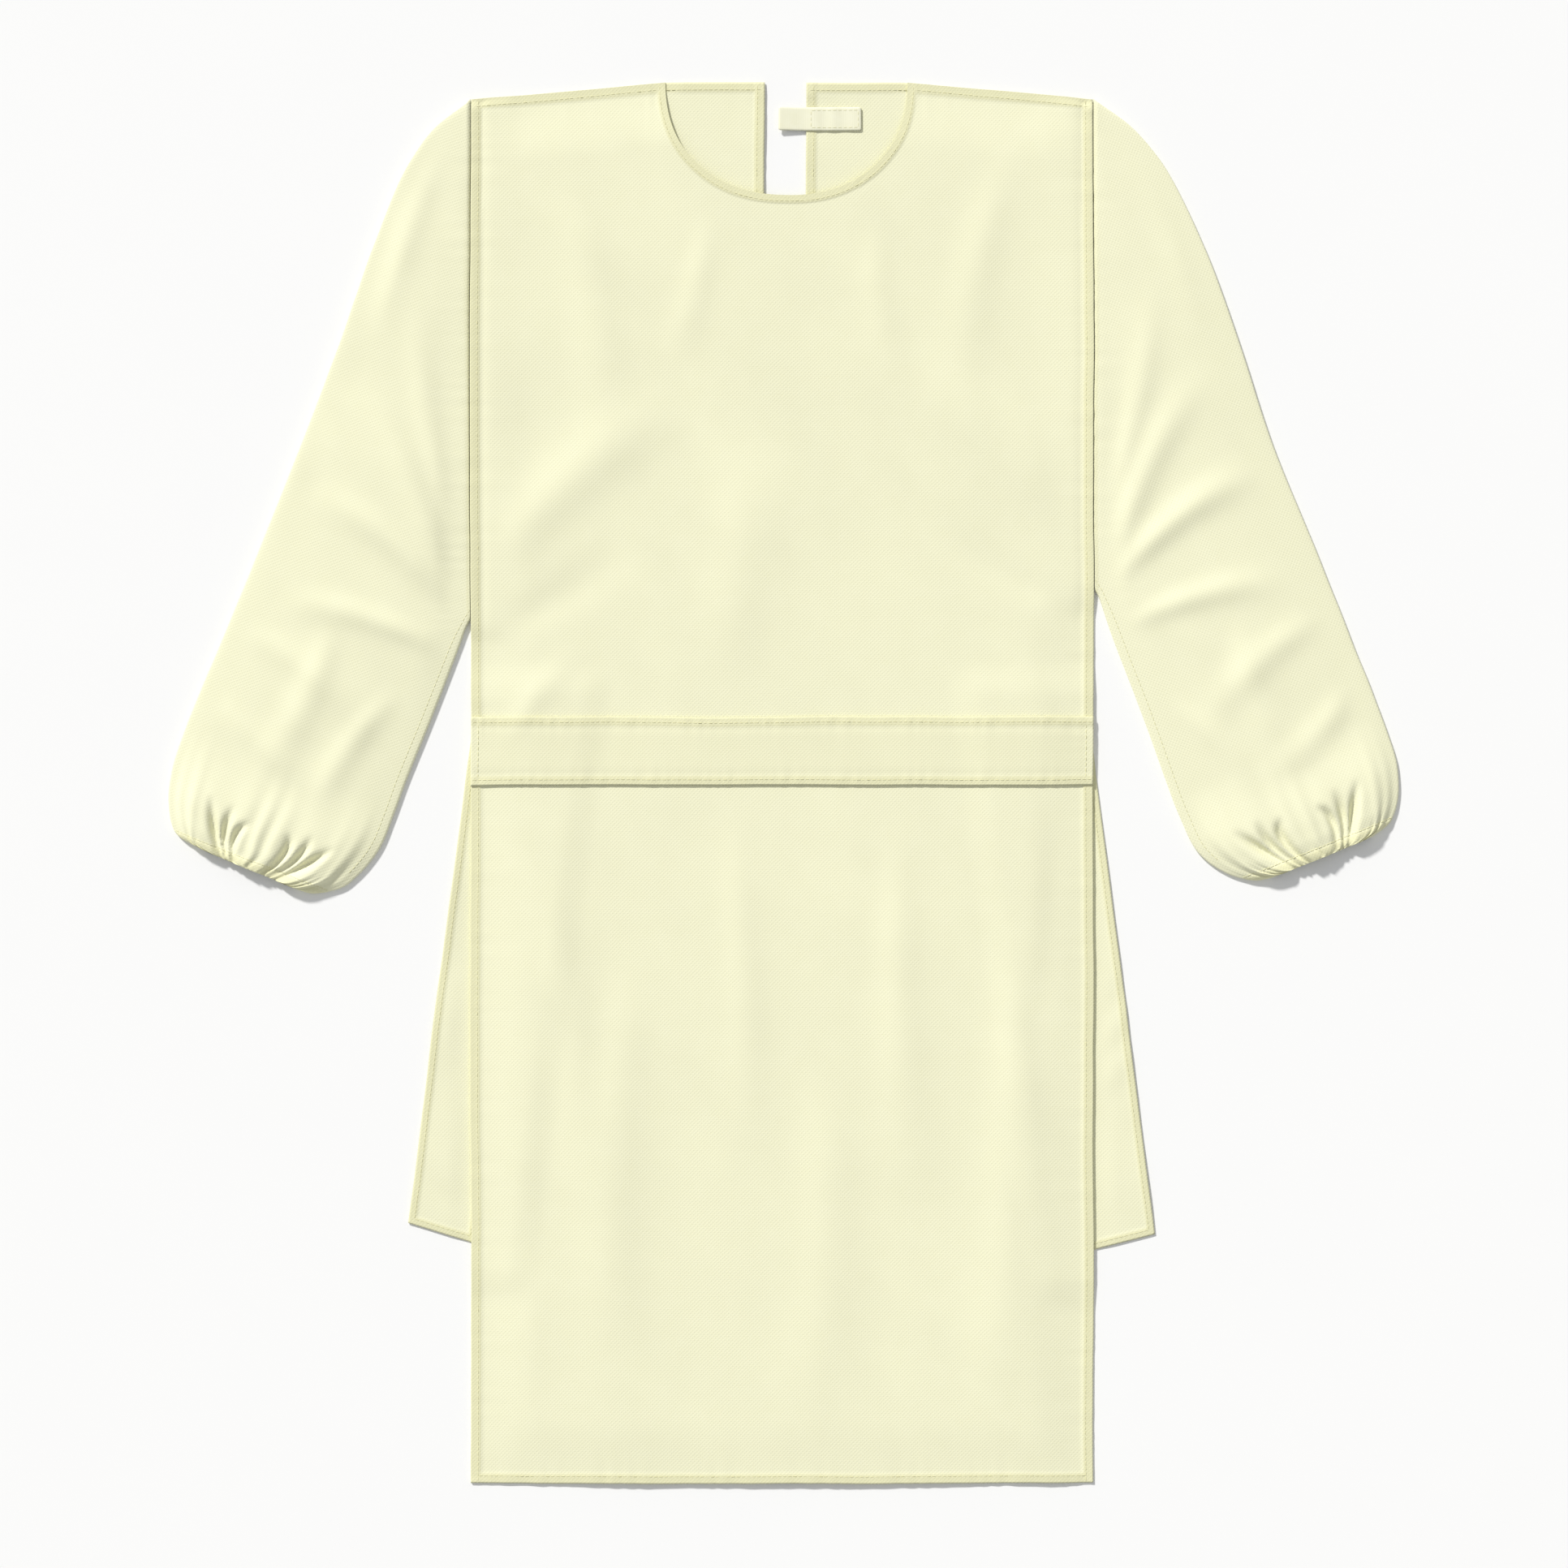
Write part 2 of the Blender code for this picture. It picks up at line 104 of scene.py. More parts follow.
def settled(x, y):
    # cloth never lies dead straight: every piece is moved by the same slow drift
    amount, small = gown["settle"], (0.03, 0.03)
    dx = amount * softNoise(x, y, (0.085, 0.120), 11) + 0.4 * amount * softNoise(x, y, small, 12)
    dy = amount * softNoise(x, y, (0.120, 0.085), 13) + 0.4 * amount * softNoise(x, y, small, 14)
    return x + dx, y + dy


def spacing(length, fineEnds, fineStep, step):
    # positions from 0 to length, close together near the two ends and wider between them
    start, end = fineEnds
    fineStart = np.linspace(0.0, start, int(round(start / fineStep)) + 1)
    fineEnd = np.linspace(length - end, length, int(round(end / fineStep)) + 1)
    middle = np.linspace(start, length - end, int(round((length - start - end) / step)) + 1)
    return np.unique(np.concatenate([fineStart, middle, fineEnd]).round(7))


def gridFaces(number):
    corners = (number[:-1, :-1], number[:-1, 1:], number[1:, 1:], number[1:, :-1])
    return np.stack(corners, axis=-1).reshape(-1, 4)


def newMesh(name, points, faces, material):
    mesh = bpy.data.meshes.new(name)
    mesh.from_pydata(points.reshape(-1, 3).tolist(), [], faces)
    mesh.shade_smooth()
    mesh.materials.append(material)
    piece = bpy.data.objects.new(name, mesh)
    bpy.context.scene.collection.objects.link(piece)
    return piece


def addVertexData(piece, grain, doubled):
    # the cloth's own flat coordinates go into a UV map, and how doubled it is into an attribute
    mesh = piece.data
    corner = np.empty(len(mesh.loops), dtype=np.int32)
    mesh.loops.foreach_get("vertex_index", corner)
    layer = mesh.uv_layers.new(name="grain")
    layer.data.foreach_set("uv", grain.reshape(-1, 2)[corner].ravel())
    attribute = mesh.attributes.new("doubled", "FLOAT", "POINT")
    attribute.data.foreach_set("value", doubled.ravel())


def clothShell(name, points, up, down, grain, doubled, material, outward=None):
    # a sheet with two faces: the middle surface moved up and down, or on a tube out and in
    # along the outward directions, with the edges closed; up and down are the distances
    tube = outward is not None
    way = outward if tube else np.broadcast_to([0.0, 0.0, 1.0], points.shape)
    top, under = points + way * up[..., None], points - way * down[..., None]
    number = np.arange(points[..., 0].size).reshape(points.shape[:2])
    if tube:
        number = np.hstack([number, number[:, :1]])
        edges = [number[0], number[-1][::-1]]
    else:
        ends = (number[0], number[1:, -1], number[-1, ::-1][1:], number[::-1, 0][1:])
        edges = [np.concatenate(ends)]
    below = number + points[..., 0].size
    # the lower faces are turned over but keep the same diagonal, so the two never cross
    faces = [gridFaces(number), gridFaces(below)[:, [0, 3, 2, 1]]]
    for edge in edges:
        lower = edge + points[..., 0].size
        faces.append(np.stack([edge[1:], edge[:-1], lower[:-1], lower[1:]], axis=-1))
    piece = newMesh(name, np.stack([top, under]), np.concatenate(faces).tolist(), material)
    addVertexData(piece, np.stack([grain, grain]), np.stack([doubled, doubled]))
    return piece


sewing = {
    "pitch": 0.0042, "cuffPitch": 0.0036, "tabPitch": 0.0040,
    "length": 0.0034, "radius": 0.00030, "sides": 5, "bury": 0.00008,
    "near": 0.0008,              # how far ahead and behind a stitch looks for its direction
}


def pathAlong(path, step):
    # the middles of even steps along a polyline, with the direction at each
    reach = np.concatenate([[0.0], np.cumsum(np.linalg.norm(np.diff(path, axis=0), axis=1))])
    number = max(int(reach[-1] / step), 1)
    at = (np.arange(number) + 0.5) * reach[-1] / number
    here, ahead, behind = (
        np.stack([np.interp(at + shift, reach, path[:, k]) for k in range(path.shape[1])], axis=1)
        for shift in (0.0, sewing["near"], -sewing["near"]))
    way = ahead - behind
    return here, way / np.maximum(np.linalg.norm(way, axis=1, keepdims=True), 1e-12)


def stitchRows(name, rows, material):
    # each stitch is a small capsule along its row: rings whose radius is the square root of
    # 1 - place squared, half sunk into the cloth; all the stitches of a piece are one mesh
    centre = np.concatenate([here for here, way in rows])
    way = np.concatenate([way for here, way in rows])
    side = np.cross(way, np.array([0.0, 0.0, 1.0]))
    side = side / np.linalg.norm(side, axis=1, keepdims=True)
    rise = np.cross(side, way)
    place = np.array([-0.92, -0.55, 0.55, 0.92])
    turn = 2.0 * np.pi * np.arange(sewing["sides"]) / sewing["sides"]
    size = sewing["radius"] * np.sqrt(1.0 - place ** 2)[:, None]
    ringSide, ringRise = size * np.cos(turn), size * np.sin(turn)
    ringWay = np.repeat(place[:, None] * sewing["length"] / 2, len(turn), axis=1)
    tips = np.array([-1.0, 1.0]) * sewing["length"] / 2
    localWay = np.concatenate([ringWay.ravel(), tips])
    localSide = np.concatenate([ringSide.ravel(), [0.0, 0.0]])
    localRise = np.concatenate([ringRise.ravel(), [0.0, 0.0]]) - sewing["bury"]
    points = (centre[:, None] + way[:, None] * localWay[None, :, None]
              + side[:, None] * localSide[None, :, None] + rise[:, None] * localRise[None, :, None])
    number = np.arange(len(place) * len(turn)).reshape(len(place), len(turn))
    ring = np.hstack([number, number[:, :1]])
    firstTip, lastTip = np.full(len(turn), number.size), np.full(len(turn), number.size + 1)
    firstCap = np.stack([ring[0, 1:], ring[0, :-1], firstTip], axis=-1)
    lastCap = np.stack([ring[-1, :-1], ring[-1, 1:], lastTip], axis=-1)
    shift = (np.arange(len(centre)) * (number.size + 2))[:, None, None]
    quads = (gridFaces(ring)[None] + shift).reshape(-1, 4)
    tris = (np.concatenate([firstCap, lastCap])[None] + shift).reshape(-1, 3)
    return newMesh(name, points, quads.tolist() + tris.tolist(), material)


def addNode(tree, kind, **values):
    node = tree.nodes.new(kind)
    for name, value in values.items():
        setattr(node, name, value)
    return node


def mixColour(tree, amount, first, second, blend="MIX"):
    node = addNode(tree, "ShaderNodeMix", data_type="RGBA", blend_type=blend)
    for socket, value in ((node.inputs[0], amount), (node.inputs[6], first), (node.inputs[7], second)):
        if isinstance(value, bpy.types.NodeSocket):
            tree.links.new(value, socket)
        else:
            socket.default_value = value
    return node.outputs[2]


def rangeOf(tree, value, fromLow, fromHigh, low, high):
    node = addNode(tree, "ShaderNodeMapRange")
    tree.links.new(value, node.inputs[0])
    for k, number in enumerate((fromLow, fromHigh, low, high)):
        node.inputs[k + 1].default_value = number
    return node.outputs[0]


def noiseOf(tree, where, scale, detail, roughness=0.5):
    node = addNode(tree, "ShaderNodeTexNoise")
    tree.links.new(where, node.inputs["Vector"])
    node.inputs["Scale"].default_value = scale
    node.inputs["Detail"].default_value = detail
    node.inputs["Roughness"].default_value = roughness
    return node.outputs[0]


def bumpOf(tree, height, strength, distance, under=None):
    # a bump from the heights, laid over the one under it
    node = addNode(tree, "ShaderNodeBump")
    tree.links.new(height, node.inputs["Height"])
    if under is not None:
        tree.links.new(under, node.inputs["Normal"])
    node.inputs["Strength"].default_value = strength
    node.inputs["Distance"].default_value = distance
    return node.outputs[0]


def newMaterial(name):
    material = bpy.data.materials.new(name)
    material.use_nodes = True
    return material, material.node_tree, material.node_tree.nodes["Principled BSDF"]


def linkShader(tree, shader, **sources):
    for socket, source in sources.items():
        tree.links.new(source, shader.inputs[socket.replace("_", " ")])


nonwoven = {
    "colour": (0.86, 0.85, 0.60), "deep": (0.775, 0.76, 0.485), "doubled": (0.74, 0.72, 0.435),
    "fibre": (0.93, 0.93, 0.76), "cloudScale": 55.0, "fibreScale": 650.0,
    "bondPitch": 0.0022, "bondTurn": 0.7854,
    "roughness": 0.72, "sheen": 0.18,
    "fibreBump": 0.35, "fibreHeight": 0.00030, "bondBump": 0.30, "bondHeight": 0.00025,
}


def nonwovenCloth(name):
    # spun nonwoven: a lattice of small bond points, fine fibres and slow cloudy thickness
    material, tree, shader = newMaterial(name)
    grain = addNode(tree, "ShaderNodeUVMap", uv_map="grain").outputs[0]
    turned = addNode(tree, "ShaderNodeMapping")
    tree.links.new(grain, turned.inputs[0])
    turned.inputs["Rotation"].default_value = (0.0, 0.0, nonwoven["bondTurn"])
    bonds = addNode(tree, "ShaderNodeTexVoronoi")
    tree.links.new(turned.outputs[0], bonds.inputs["Vector"])
    bonds.inputs["Scale"].default_value = 1.0 / nonwoven["bondPitch"]
    bonds.inputs["Randomness"].default_value = 0.06
    bond = rangeOf(tree, bonds.outputs["Distance"], 0.18, 0.42, 0.0, 1.0)
    cloud = noiseOf(tree, grain, nonwoven["cloudScale"], 4.0, 0.6)
    fibre = noiseOf(tree, grain, nonwoven["fibreScale"], 5.0, 0.7)
    doubled = addNode(tree, "ShaderNodeAttribute", attribute_name="doubled").outputs["Fac"]
    deepening = rangeOf(tree, doubled, 0.0, 1.0, 0.0, 0.85)
    colour = mixColour(tree, deepening, (*nonwoven["colour"], 1.0), (*nonwoven["doubled"], 1.0))
    cloudy = rangeOf(tree, cloud, 0.3, 0.7, 0.0, 0.16)
    colour = mixColour(tree, cloudy, colour, (*nonwoven["deep"], 1.0))
    fibrous = rangeOf(tree, fibre, 0.35, 0.75, 0.0, 0.20)
    colour = mixColour(tree, fibrous, colour, (*nonwoven["fibre"], 1.0))
    pressed = rangeOf(tree, bond, 0.0, 1.0, 0.16, 0.0)
    colour = mixColour(tree, pressed, colour, (*nonwoven["deep"], 1.0))
    bump = bumpOf(tree, bond, nonwoven["bondBump"], nonwoven["bondHeight"])
    bump = bumpOf(tree, fibre, nonwoven["fibreBump"], nonwoven["fibreHeight"], bump)
    middle = nonwoven["roughness"]
    rough = rangeOf(tree, fibre, 0.3, 0.7, middle - 0.08, middle + 0.08)
    linkShader(tree, shader, Base_Color=colour, Normal=bump, Roughness=rough)
    shader.inputs["Sheen Weight"].default_value = nonwoven["sheen"]
    shader.inputs["Sheen Roughness"].default_value = 0.5
    shader.inputs["Specular IOR Level"].default_value = 0.3
    return material


tapeLook = {"colour": (0.89, 0.88, 0.68), "deep": (0.78, 0.76, 0.50), "roughness": 0.42,
            "ribScale": 260.0, "bump": 0.25, "ribHeight": 0.0002}


def tapeFinish(name):
    # smooth coated tape with a faint ribbed backing
    material, tree, shader = newMaterial(name)
    grain = addNode(tree, "ShaderNodeUVMap", uv_map="grain").outputs[0]
    ribs = addNode(tree, "ShaderNodeTexWave", bands_direction="X")
    tree.links.new(grain, ribs.inputs["Vector"])
    ribs.inputs["Scale"].default_value = tapeLook["ribScale"]
    ribs.inputs["Distortion"].default_value = 0.6
    cloud = noiseOf(tree, grain, 140.0, 3.0)
    mottle = rangeOf(tree, cloud, 0.3, 0.7, 0.0, 0.25)
    colour = mixColour(tree, mottle, (*tapeLook["colour"], 1.0), (*tapeLook["deep"], 1.0))
    bump = bumpOf(tree, ribs.outputs["Fac"], tapeLook["bump"], tapeLook["ribHeight"])
    middle = tapeLook["roughness"]
    rough = rangeOf(tree, cloud, 0.3, 0.7, middle - 0.06, middle + 0.08)
    linkShader(tree, shader, Base_Color=colour, Normal=bump, Roughness=rough)
    return material


# the thread's yellow, and a darker copy of it for the painted shade of the twist and for random darker
# patches
threadLook = {"light": (0.80, 0.78, 0.50), "dark": (0.62, 0.59, 0.33), "roughness": 0.55,
              "twistScale": 900.0, "bump": 0.4, "twistHeight": 0.0001}


def threadFinish(name):
    # twisted polyester thread: fine slanting bands of lighter and darker yellow; the darker bands are
    # painted shade in the grooves between the twisted plies
    material, tree, shader = newMaterial(name)
    where = addNode(tree, "ShaderNodeTexCoord").outputs["Object"]
    twist = addNode(tree, "ShaderNodeTexWave", bands_direction="DIAGONAL")
    tree.links.new(where, twist.inputs["Vector"])
    twist.inputs["Scale"].default_value = threadLook["twistScale"]
    patch = noiseOf(tree, where, 120.0, 3.0)
    # painted shade: the thread's colour is darkened along the twist bands, where the grooves between
    # the plies are shaded
    shade = rangeOf(tree, twist.outputs["Fac"], 0.0, 1.0, 0.0, 0.55)
    colour = mixColour(tree, shade, (*threadLook["light"], 1.0), (*threadLook["dark"], 1.0))
    worn = rangeOf(tree, patch, 0.3, 0.7, 0.0, 0.3)
    colour = mixColour(tree, worn, colour, (*threadLook["dark"], 1.0))
    bump = bumpOf(tree, twist.outputs["Fac"], threadLook["bump"], threadLook["twistHeight"])
    middle = threadLook["roughness"]
    rough = rangeOf(tree, patch, 0.3, 0.7, middle - 0.08, middle + 0.08)
    linkShader(tree, shader, Base_Color=colour, Normal=bump, Roughness=rough)
    return material


bodyCloth = nonwovenCloth("body nonwoven")
beltCloth = nonwovenCloth("belt nonwoven")
tapeCloth = tapeFinish("neck tape")
thread = threadFinish("sewing thread")
print("procedure gown: materials made")


def shoulderLine(x):
    # level across the neck, then falling in a straight line to the shoulder tips
    beyond = np.abs(x - gown["neckCentreX"]) - gown["neckHalfWidth"]
    run = gown["halfWidth"] - gown["neckHalfWidth"] - np.sign(x) * gown["neckCentreX"]
    fall = (gown["neckPointY"] - gown["shoulderTipY"]) / run
    return gown["neckPointY"] - fall * np.maximum(beyond, 0.0)


def necklineCurve():
    # the scoop from neck point to neck point, by angle: the cosine and the sine of the turn,
    # each raised to 2/n, times half the width and the depth
    power = gown["neckFullness"]
    turn = np.linspace(0.0, np.pi, 361)
    x = -np.sign(np.cos(turn)) * np.abs(np.cos(turn)) ** (2.0 / power) * gown["neckHalfWidth"]
    y = -np.abs(np.sin(turn)) ** (2.0 / power) * gown["neckDepth"]
    return np.stack([x + gown["neckCentreX"], y + gown["neckPointY"]], axis=1)


def necklinePath(offset):
    # the scoop moved outwards from the opening by the offset
    path = necklineCurve()
    way = np.gradient(path, axis=0)
    way = way / np.maximum(np.linalg.norm(way, axis=1, keepdims=True), 1e-12)
    path = path + offset * np.stack([way[:, 1], -way[:, 0]], axis=1)
    return path[path[:, 1] < shoulderLine(path[:, 0]) - 0.001]


def distanceTo(path, x, y):
    # shortest distance from each point to a polyline's points
    flat = np.stack([x.ravel(), y.ravel()], axis=1)
    apart = np.linalg.norm(flat[:, None] - path[None, ::2], axis=2)
    return apart.min(axis=1).reshape(x.shape)


ties = {
    "width": 0.056, "topY": 0.050,
    "left": {"topX": -0.2538, "endX": -0.3070, "endY": -0.3617, "endSlope": 0.30},
    "right": {"topX": 0.2527, "endX": 0.3057, "endY": -0.3703, "endSlope": 0.26},
    "lift": 0.0015, "margin": (0.028, 0.020), "fade": 0.030, "wave": 0.0016, "hem": 0.0065,
}


def tieSlant(side):
    # how far a tie moves sideways for each metre down, and its width measured level
    tie = ties[side]
    slope = (tie["endX"] - tie["topX"]) / (ties["topY"] - tie["endY"])
    return slope, ties["width"] * np.hypot(1.0, slope)


def tieLift(x, y):
    # the backs rise over a tie that lies under them, and fall off beside and beyond it
    lift = np.zeros_like(x)
    for side, sign in sideSign.items():
        slope, width = tieSlant(side)
        inwards = -sign * (x - ties[side]["topX"] - slope * (ties["topY"] - y))
        endY = ties[side]["endY"] - ties[side]["endSlope"] * width
        beside = np.maximum(np.maximum(-inwards, inwards - width), 0.0)
        beyond = np.maximum(np.maximum(y - ties["topY"], endY - y), 0.0)
        clear = ease(1.0 - (beside - ties["margin"][0]) / ties["fade"])
        clear = clear * ease(1.0 - (beyond - ties["margin"][1]) / ties["fade"])
        lift = np.maximum(lift, ties["lift"] * clear)
    return lift


front = {
    "loft": 0.0026, "armLoft": 0.0014, "edgeReach": 0.055, "seamTop": 0.00335,
    "seamGap": 0.00058,          # front over back at the side seams, middle to middle
    "seamDip": 0.0007, "pucker": 0.00030, "drift": 0.0013, "ripple": 0.00045,
    "shoulderReach": 0.0045, "step": 0.0046, "fineStep": 0.0014, "neckCells": 76,
    "neckSpread": 1.45,          # width of the scoop's columns at the yoke, in scoop widths
    # x0, y0, x1, y1, bow, half width, height
    "folds": (
        (-0.246, 0.170, -0.060, 0.330, 0.012, 0.026, 0.0026),
        (-0.250, 0.120, -0.110, 0.210, -0.010, 0.018, -0.0012),
        (0.246, 0.190, 0.080, 0.360, -0.014, 0.028, 0.0024),
        (0.250, 0.140, 0.120, 0.225, 0.010, 0.017, -0.0012),
        (-0.185, 0.530, -0.150, 0.240, 0.016, 0.022, 0.0018),
        (0.190, 0.525, 0.150, 0.290, -0.012, 0.020, 0.0015),
        (-0.060, 0.470, -0.095, 0.330, 0.006, 0.014, 0.0011),
        (0.075, 0.465, 0.105, 0.310, -0.008, 0.015, 0.0012),
        (-0.040, 0.075, -0.010, 0.300, 0.010, 0.030, 0.0016),
        (-0.205, -0.015, -0.160, -0.420, 0.012, 0.022, 0.0019),
        (-0.120, -0.120, -0.135, -0.560, -0.010, 0.026, 0.0022),
        (-0.045, -0.010, -0.030, -0.330, 0.008, 0.017, 0.0013),
        (0.035, -0.200, 0.020, -0.565, 0.010, 0.028, 0.0021),
        (0.100, -0.012, 0.120, -0.390, -0.012, 0.020, 0.0018),
        (0.185, -0.100, 0.170, -0.560, 0.012, 0.024, 0.0022),
        (0.225, -0.010, 0.205, -0.250, 0.006, 0.014, -0.0009),
        (-0.235, 0.020, -0.150, 0.120, 0.008, 0.013, 0.0010),
        (0.235, 0.030, 0.160, 0.130, -0.008, 0.012, 0.0009),
    ),
}


def armholeFoot(x, y):
    # along an armhole the front meets the upper layer of the sleeve, which stands on its folds:
    # how far that lifts it, fading inwards and below the underarm
    foot = front["seamTop"] - gown["restHeight"] - front["seamGap"]
    lift = np.zeros_like(x)
    for side, sign in sideSign.items():
        above = ease((y - gown["underarmY"][side] + front["edgeReach"] / 2) / (front["edgeReach"] / 2))
        near = 1.0 - ease((gown["halfWidth"] - sign * x) / front["edgeReach"])
        lift = lift + foot * above * near
    return lift


def shoulderMeet(x, y):
    # 1 at the shoulder seam, falling to 0 within a few millimetres below it
    return np.exp(-((np.maximum(shoulderLine(x) - y, 0.0) / front["shoulderReach"]) ** 2))


def backHeight(x, y):
    # the resting height plus the lift over the ties and a slow drift away from the edges;
    # at the shoulder seam the back comes up to meet the front half way
    inside = ease((gown["halfWidth"] - np.abs(x)) / 0.05)
    drift = 0.00035 * (1.0 + softNoise(x, y, (0.07, 0.13), 21)) * inside
    return gown["restHeight"] + tieLift(x, y) + drift + 0.5 * armholeFoot(x, y) * shoulderMeet(x, y)


def armholeRise(x, y):
    # the foot at the armhole, less at the shoulder seam, and an arch along the armhole
    rise = armholeFoot(x, y) * (1.0 - shoulderMeet(x, y))
    for side, sign in sideSign.items():
        share = (gown["shoulderTipY"] - y) / (gown["shoulderTipY"] - gown["underarmY"][side])
        near = 1.0 - ease((gown["halfWidth"] - sign * x) / front["edgeReach"])
        rise = rise + front["armLoft"] * crown(share) * near
    return rise


def frontHeight(x, y):
    # over the backs: a loft that rises from every seam, with folds, slow drift and ripples;
    # close to a seam it dips, and small puckers run in from the stitches
    fromSide = gown["halfWidth"] - np.abs(x)
    fromShoulder = shoulderLine(x) - y
    inside = ease(fromSide / front["edgeReach"]) * ease(fromShoulder / front["edgeReach"])
    fromHem = ease((y - gown["hemY"]) / 0.05)
    drift = front["drift"] * softNoise(x, y, (0.060, 0.170), 31)
    ripple = front["ripple"] * softNoise(x, y, (0.022, 0.060), 32)
    folds = ridges(x, y, front["folds"]) + drift + ripple
    loft = inside * (front["loft"] * (0.45 + 0.55 * fromHem) + np.maximum(folds, -front["loft"] * 0.8))
    dip = front["seamDip"] * (np.exp(-((fromSide - 0.0085) / 0.0040) ** 2))
    pucker = front["pucker"] * np.exp(-(fromSide / 0.014)) * unevenWave(y, 0.013, 1.0 + (x > 0))
    shoulderPucker = front["pucker"] * np.exp(-(fromShoulder / 0.012)) * unevenWave(x, 0.012, 4.0)
    above = ease((y - 0.10) / 0.05)
    lowest = backHeight(x, y) + front["seamGap"]
    height = lowest + armholeRise(x, y) + loft + pucker + shoulderPucker - dip * above
    return np.maximum(height, lowest)


def frontGrid():
    # columns are upright as far as the yoke; above it each leans to its own place on a
    # shoulder or on the scoop, and the rows draw closer together towards that edge
    hw, nw, cx = gown["halfWidth"], gown["neckHalfWidth"], gown["neckCentreX"]
    curve = necklineCurve()
    reach = np.concatenate([[0.0], np.cumsum(np.linalg.norm(np.diff(curve, axis=0), axis=1))])
    places = np.linspace(0.0, reach[-1], front["neckCells"] + 1)
    scoopX, scoopY = np.interp(places, reach, curve[:, 0]), np.interp(places, reach, curve[:, 1])
    left = -hw + spacing(cx - nw + hw, (0.012, 0.012), front["fineStep"], front["step"])[:-1]
    right = hw - spacing(hw - cx - nw, (0.012, 0.012), front["fineStep"], front["step"])[::-1][1:]
    wide = nw * front["neckSpread"]
    leftFoot = -hw + (left + hw) * (cx - wide + hw) / (cx - nw + hw)
    rightFoot = hw - (hw - right) * (hw - cx - wide) / (hw - cx - nw)
    footX = np.concatenate([leftFoot, cx + wide * (2.0 * places / reach[-1] - 1.0), rightFoot])
    topX = np.concatenate([left, scoopX, right])
    topY = np.concatenate([shoulderLine(left), scoopY, shoulderLine(right)])
    levels = gown["hemY"] + spacing(gown["yokeY"] - gown["hemY"], (0.012, 0.0), front["fineStep"],
                                    front["step"])
    x = np.repeat(footX[None, :], len(levels), axis=0)
    y = np.repeat(levels[:, None], len(footX), axis=1)
    shares = (1.0 - (1.0 - np.linspace(0.0, 1.0, 41)[1:]) ** 1.7)[:, None]
    yokeX = footX + shares * (topX - footX)
    yokeY = gown["yokeY"] + shares * (topY - gown["yokeY"])
    return np.vstack([x, yokeX]), np.vstack([y, yokeY])


def edgeBand(distance, width):
    # 1 on the turned edge, falling to 0 just past its inner edge
    return ease((width + gown["bandSoft"] - distance) / (2 * gown["bandSoft"]))


def finishPiece(piece, node):
    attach(piece, "root")
    if node:
        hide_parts(node)


def raised(x, y, height, lift):
    # a path in plan, settled like the cloth and laid on it
    sx, sy = settled(x, y)
    return np.stack([sx, sy, height + lift], axis=1)


def flatShell(name, x, y, z, band, material, standing=1.0):
    # a piece that lies flat, its turned edges standing up by the hem step times standing
    sx, sy = settled(x, y)
    half = np.full_like(x, gown["cloth"] / 2)
    points = np.stack([sx, sy, z], axis=-1)
    grain = np.stack([x, y], axis=-1)
    up = half + gown["hemStep"] * band * standing
    return clothShell(name, points, up, half, grain, band, material)


x, y = frontGrid()
fromNeck = np.ones_like(x)
top = y > 0.44
scoop = necklinePath(0.0)
fromNeck[top] = distanceTo(scoop, x[top], y[top])
band = np.maximum(edgeBand(gown["halfWidth"] - np.abs(x), gown["hemWidth"]),
                  edgeBand(y - gown["hemY"], gown["hemWidth"]))
band = np.maximum(band, edgeBand(fromNeck, gown["hemWidth"] * 0.85))
band = np.maximum(band, edgeBand(shoulderLine(x) - y, gown["hemWidth"]))
z = frontHeight(x, y)
neckPucker = 0.00025 * np.exp(-fromNeck / 0.010) * unevenWave(x + 0.7 * y, 0.011, 6.0)
hemPucker = 0.00030 * np.exp(-(y - gown["hemY"]) / 0.012) * unevenWave(x, 0.016, 7.0)
z = np.maximum(z + neckPucker + hemPucker, backHeight(x, y) + front["seamGap"])
frontPiece = flatShell("frontPanel", x, y, z, band, bodyCloth)
finishPiece(frontPiece, "front")


def straightRow(x0, y0, x1, y1, heightAt, lift, step=None):
    # a row of stitches between two points in plan
    number = 200
    px, py = np.linspace(x0, x1, number), np.linspace(y0, y1, number)
    path = raised(px, py, heightAt(px, py), lift)
    return pathAlong(path, step or sewing["pitch"])


seamLift = gown["cloth"] / 2 + gown["hemStep"] + 0.0001
underLift = 0.00002              # stitches of an underside, sunk so that they stay off the floor
hw, inset = gown["halfWidth"], gown["hemWidth"] - 0.0020
hemRowY, tipRowY = gown["hemY"] + inset, gown["shoulderTipY"] - inset
neckRow = {"fromCentre": 0.1062, "y": 0.5748 - inset}     # where a shoulder row ends at the neck
scoopX, scoopY = necklinePath(gown["hemWidth"] * 0.85 - 0.0020).T
rows = [
    straightRow(-hw + inset, gown["hemY"] + 0.001, -hw + inset, 0.5600, frontHeight, seamLift),
    straightRow(hw - inset, gown["hemY"] + 0.001, hw - inset, 0.5600, frontHeight, seamLift),
    straightRow(-hw + inset, hemRowY, hw - inset, hemRowY, frontHeight, seamLift),
    pathAlong(raised(scoopX, scoopY, frontHeight(scoopX, scoopY), seamLift), sewing["pitch"]),
    straightRow(-hw + 0.004, tipRowY, gown["neckCentreX"] - neckRow["fromCentre"], neckRow["y"],
                frontHeight, seamLift),
    straightRow(gown["neckCentreX"] + neckRow["fromCentre"], neckRow["y"], hw - 0.004, tipRowY,
                frontHeight, seamLift),
]
frontSewing = stitchRows("frontStitches", rows, thread)
finishPiece(frontSewing, None)
print("procedure gown: front made")

# the two back panels, open down the middle
back = {"step": 0.0058, "fineStep": 0.0016, "openingLift": 0.0007, "pucker": 0.00022}


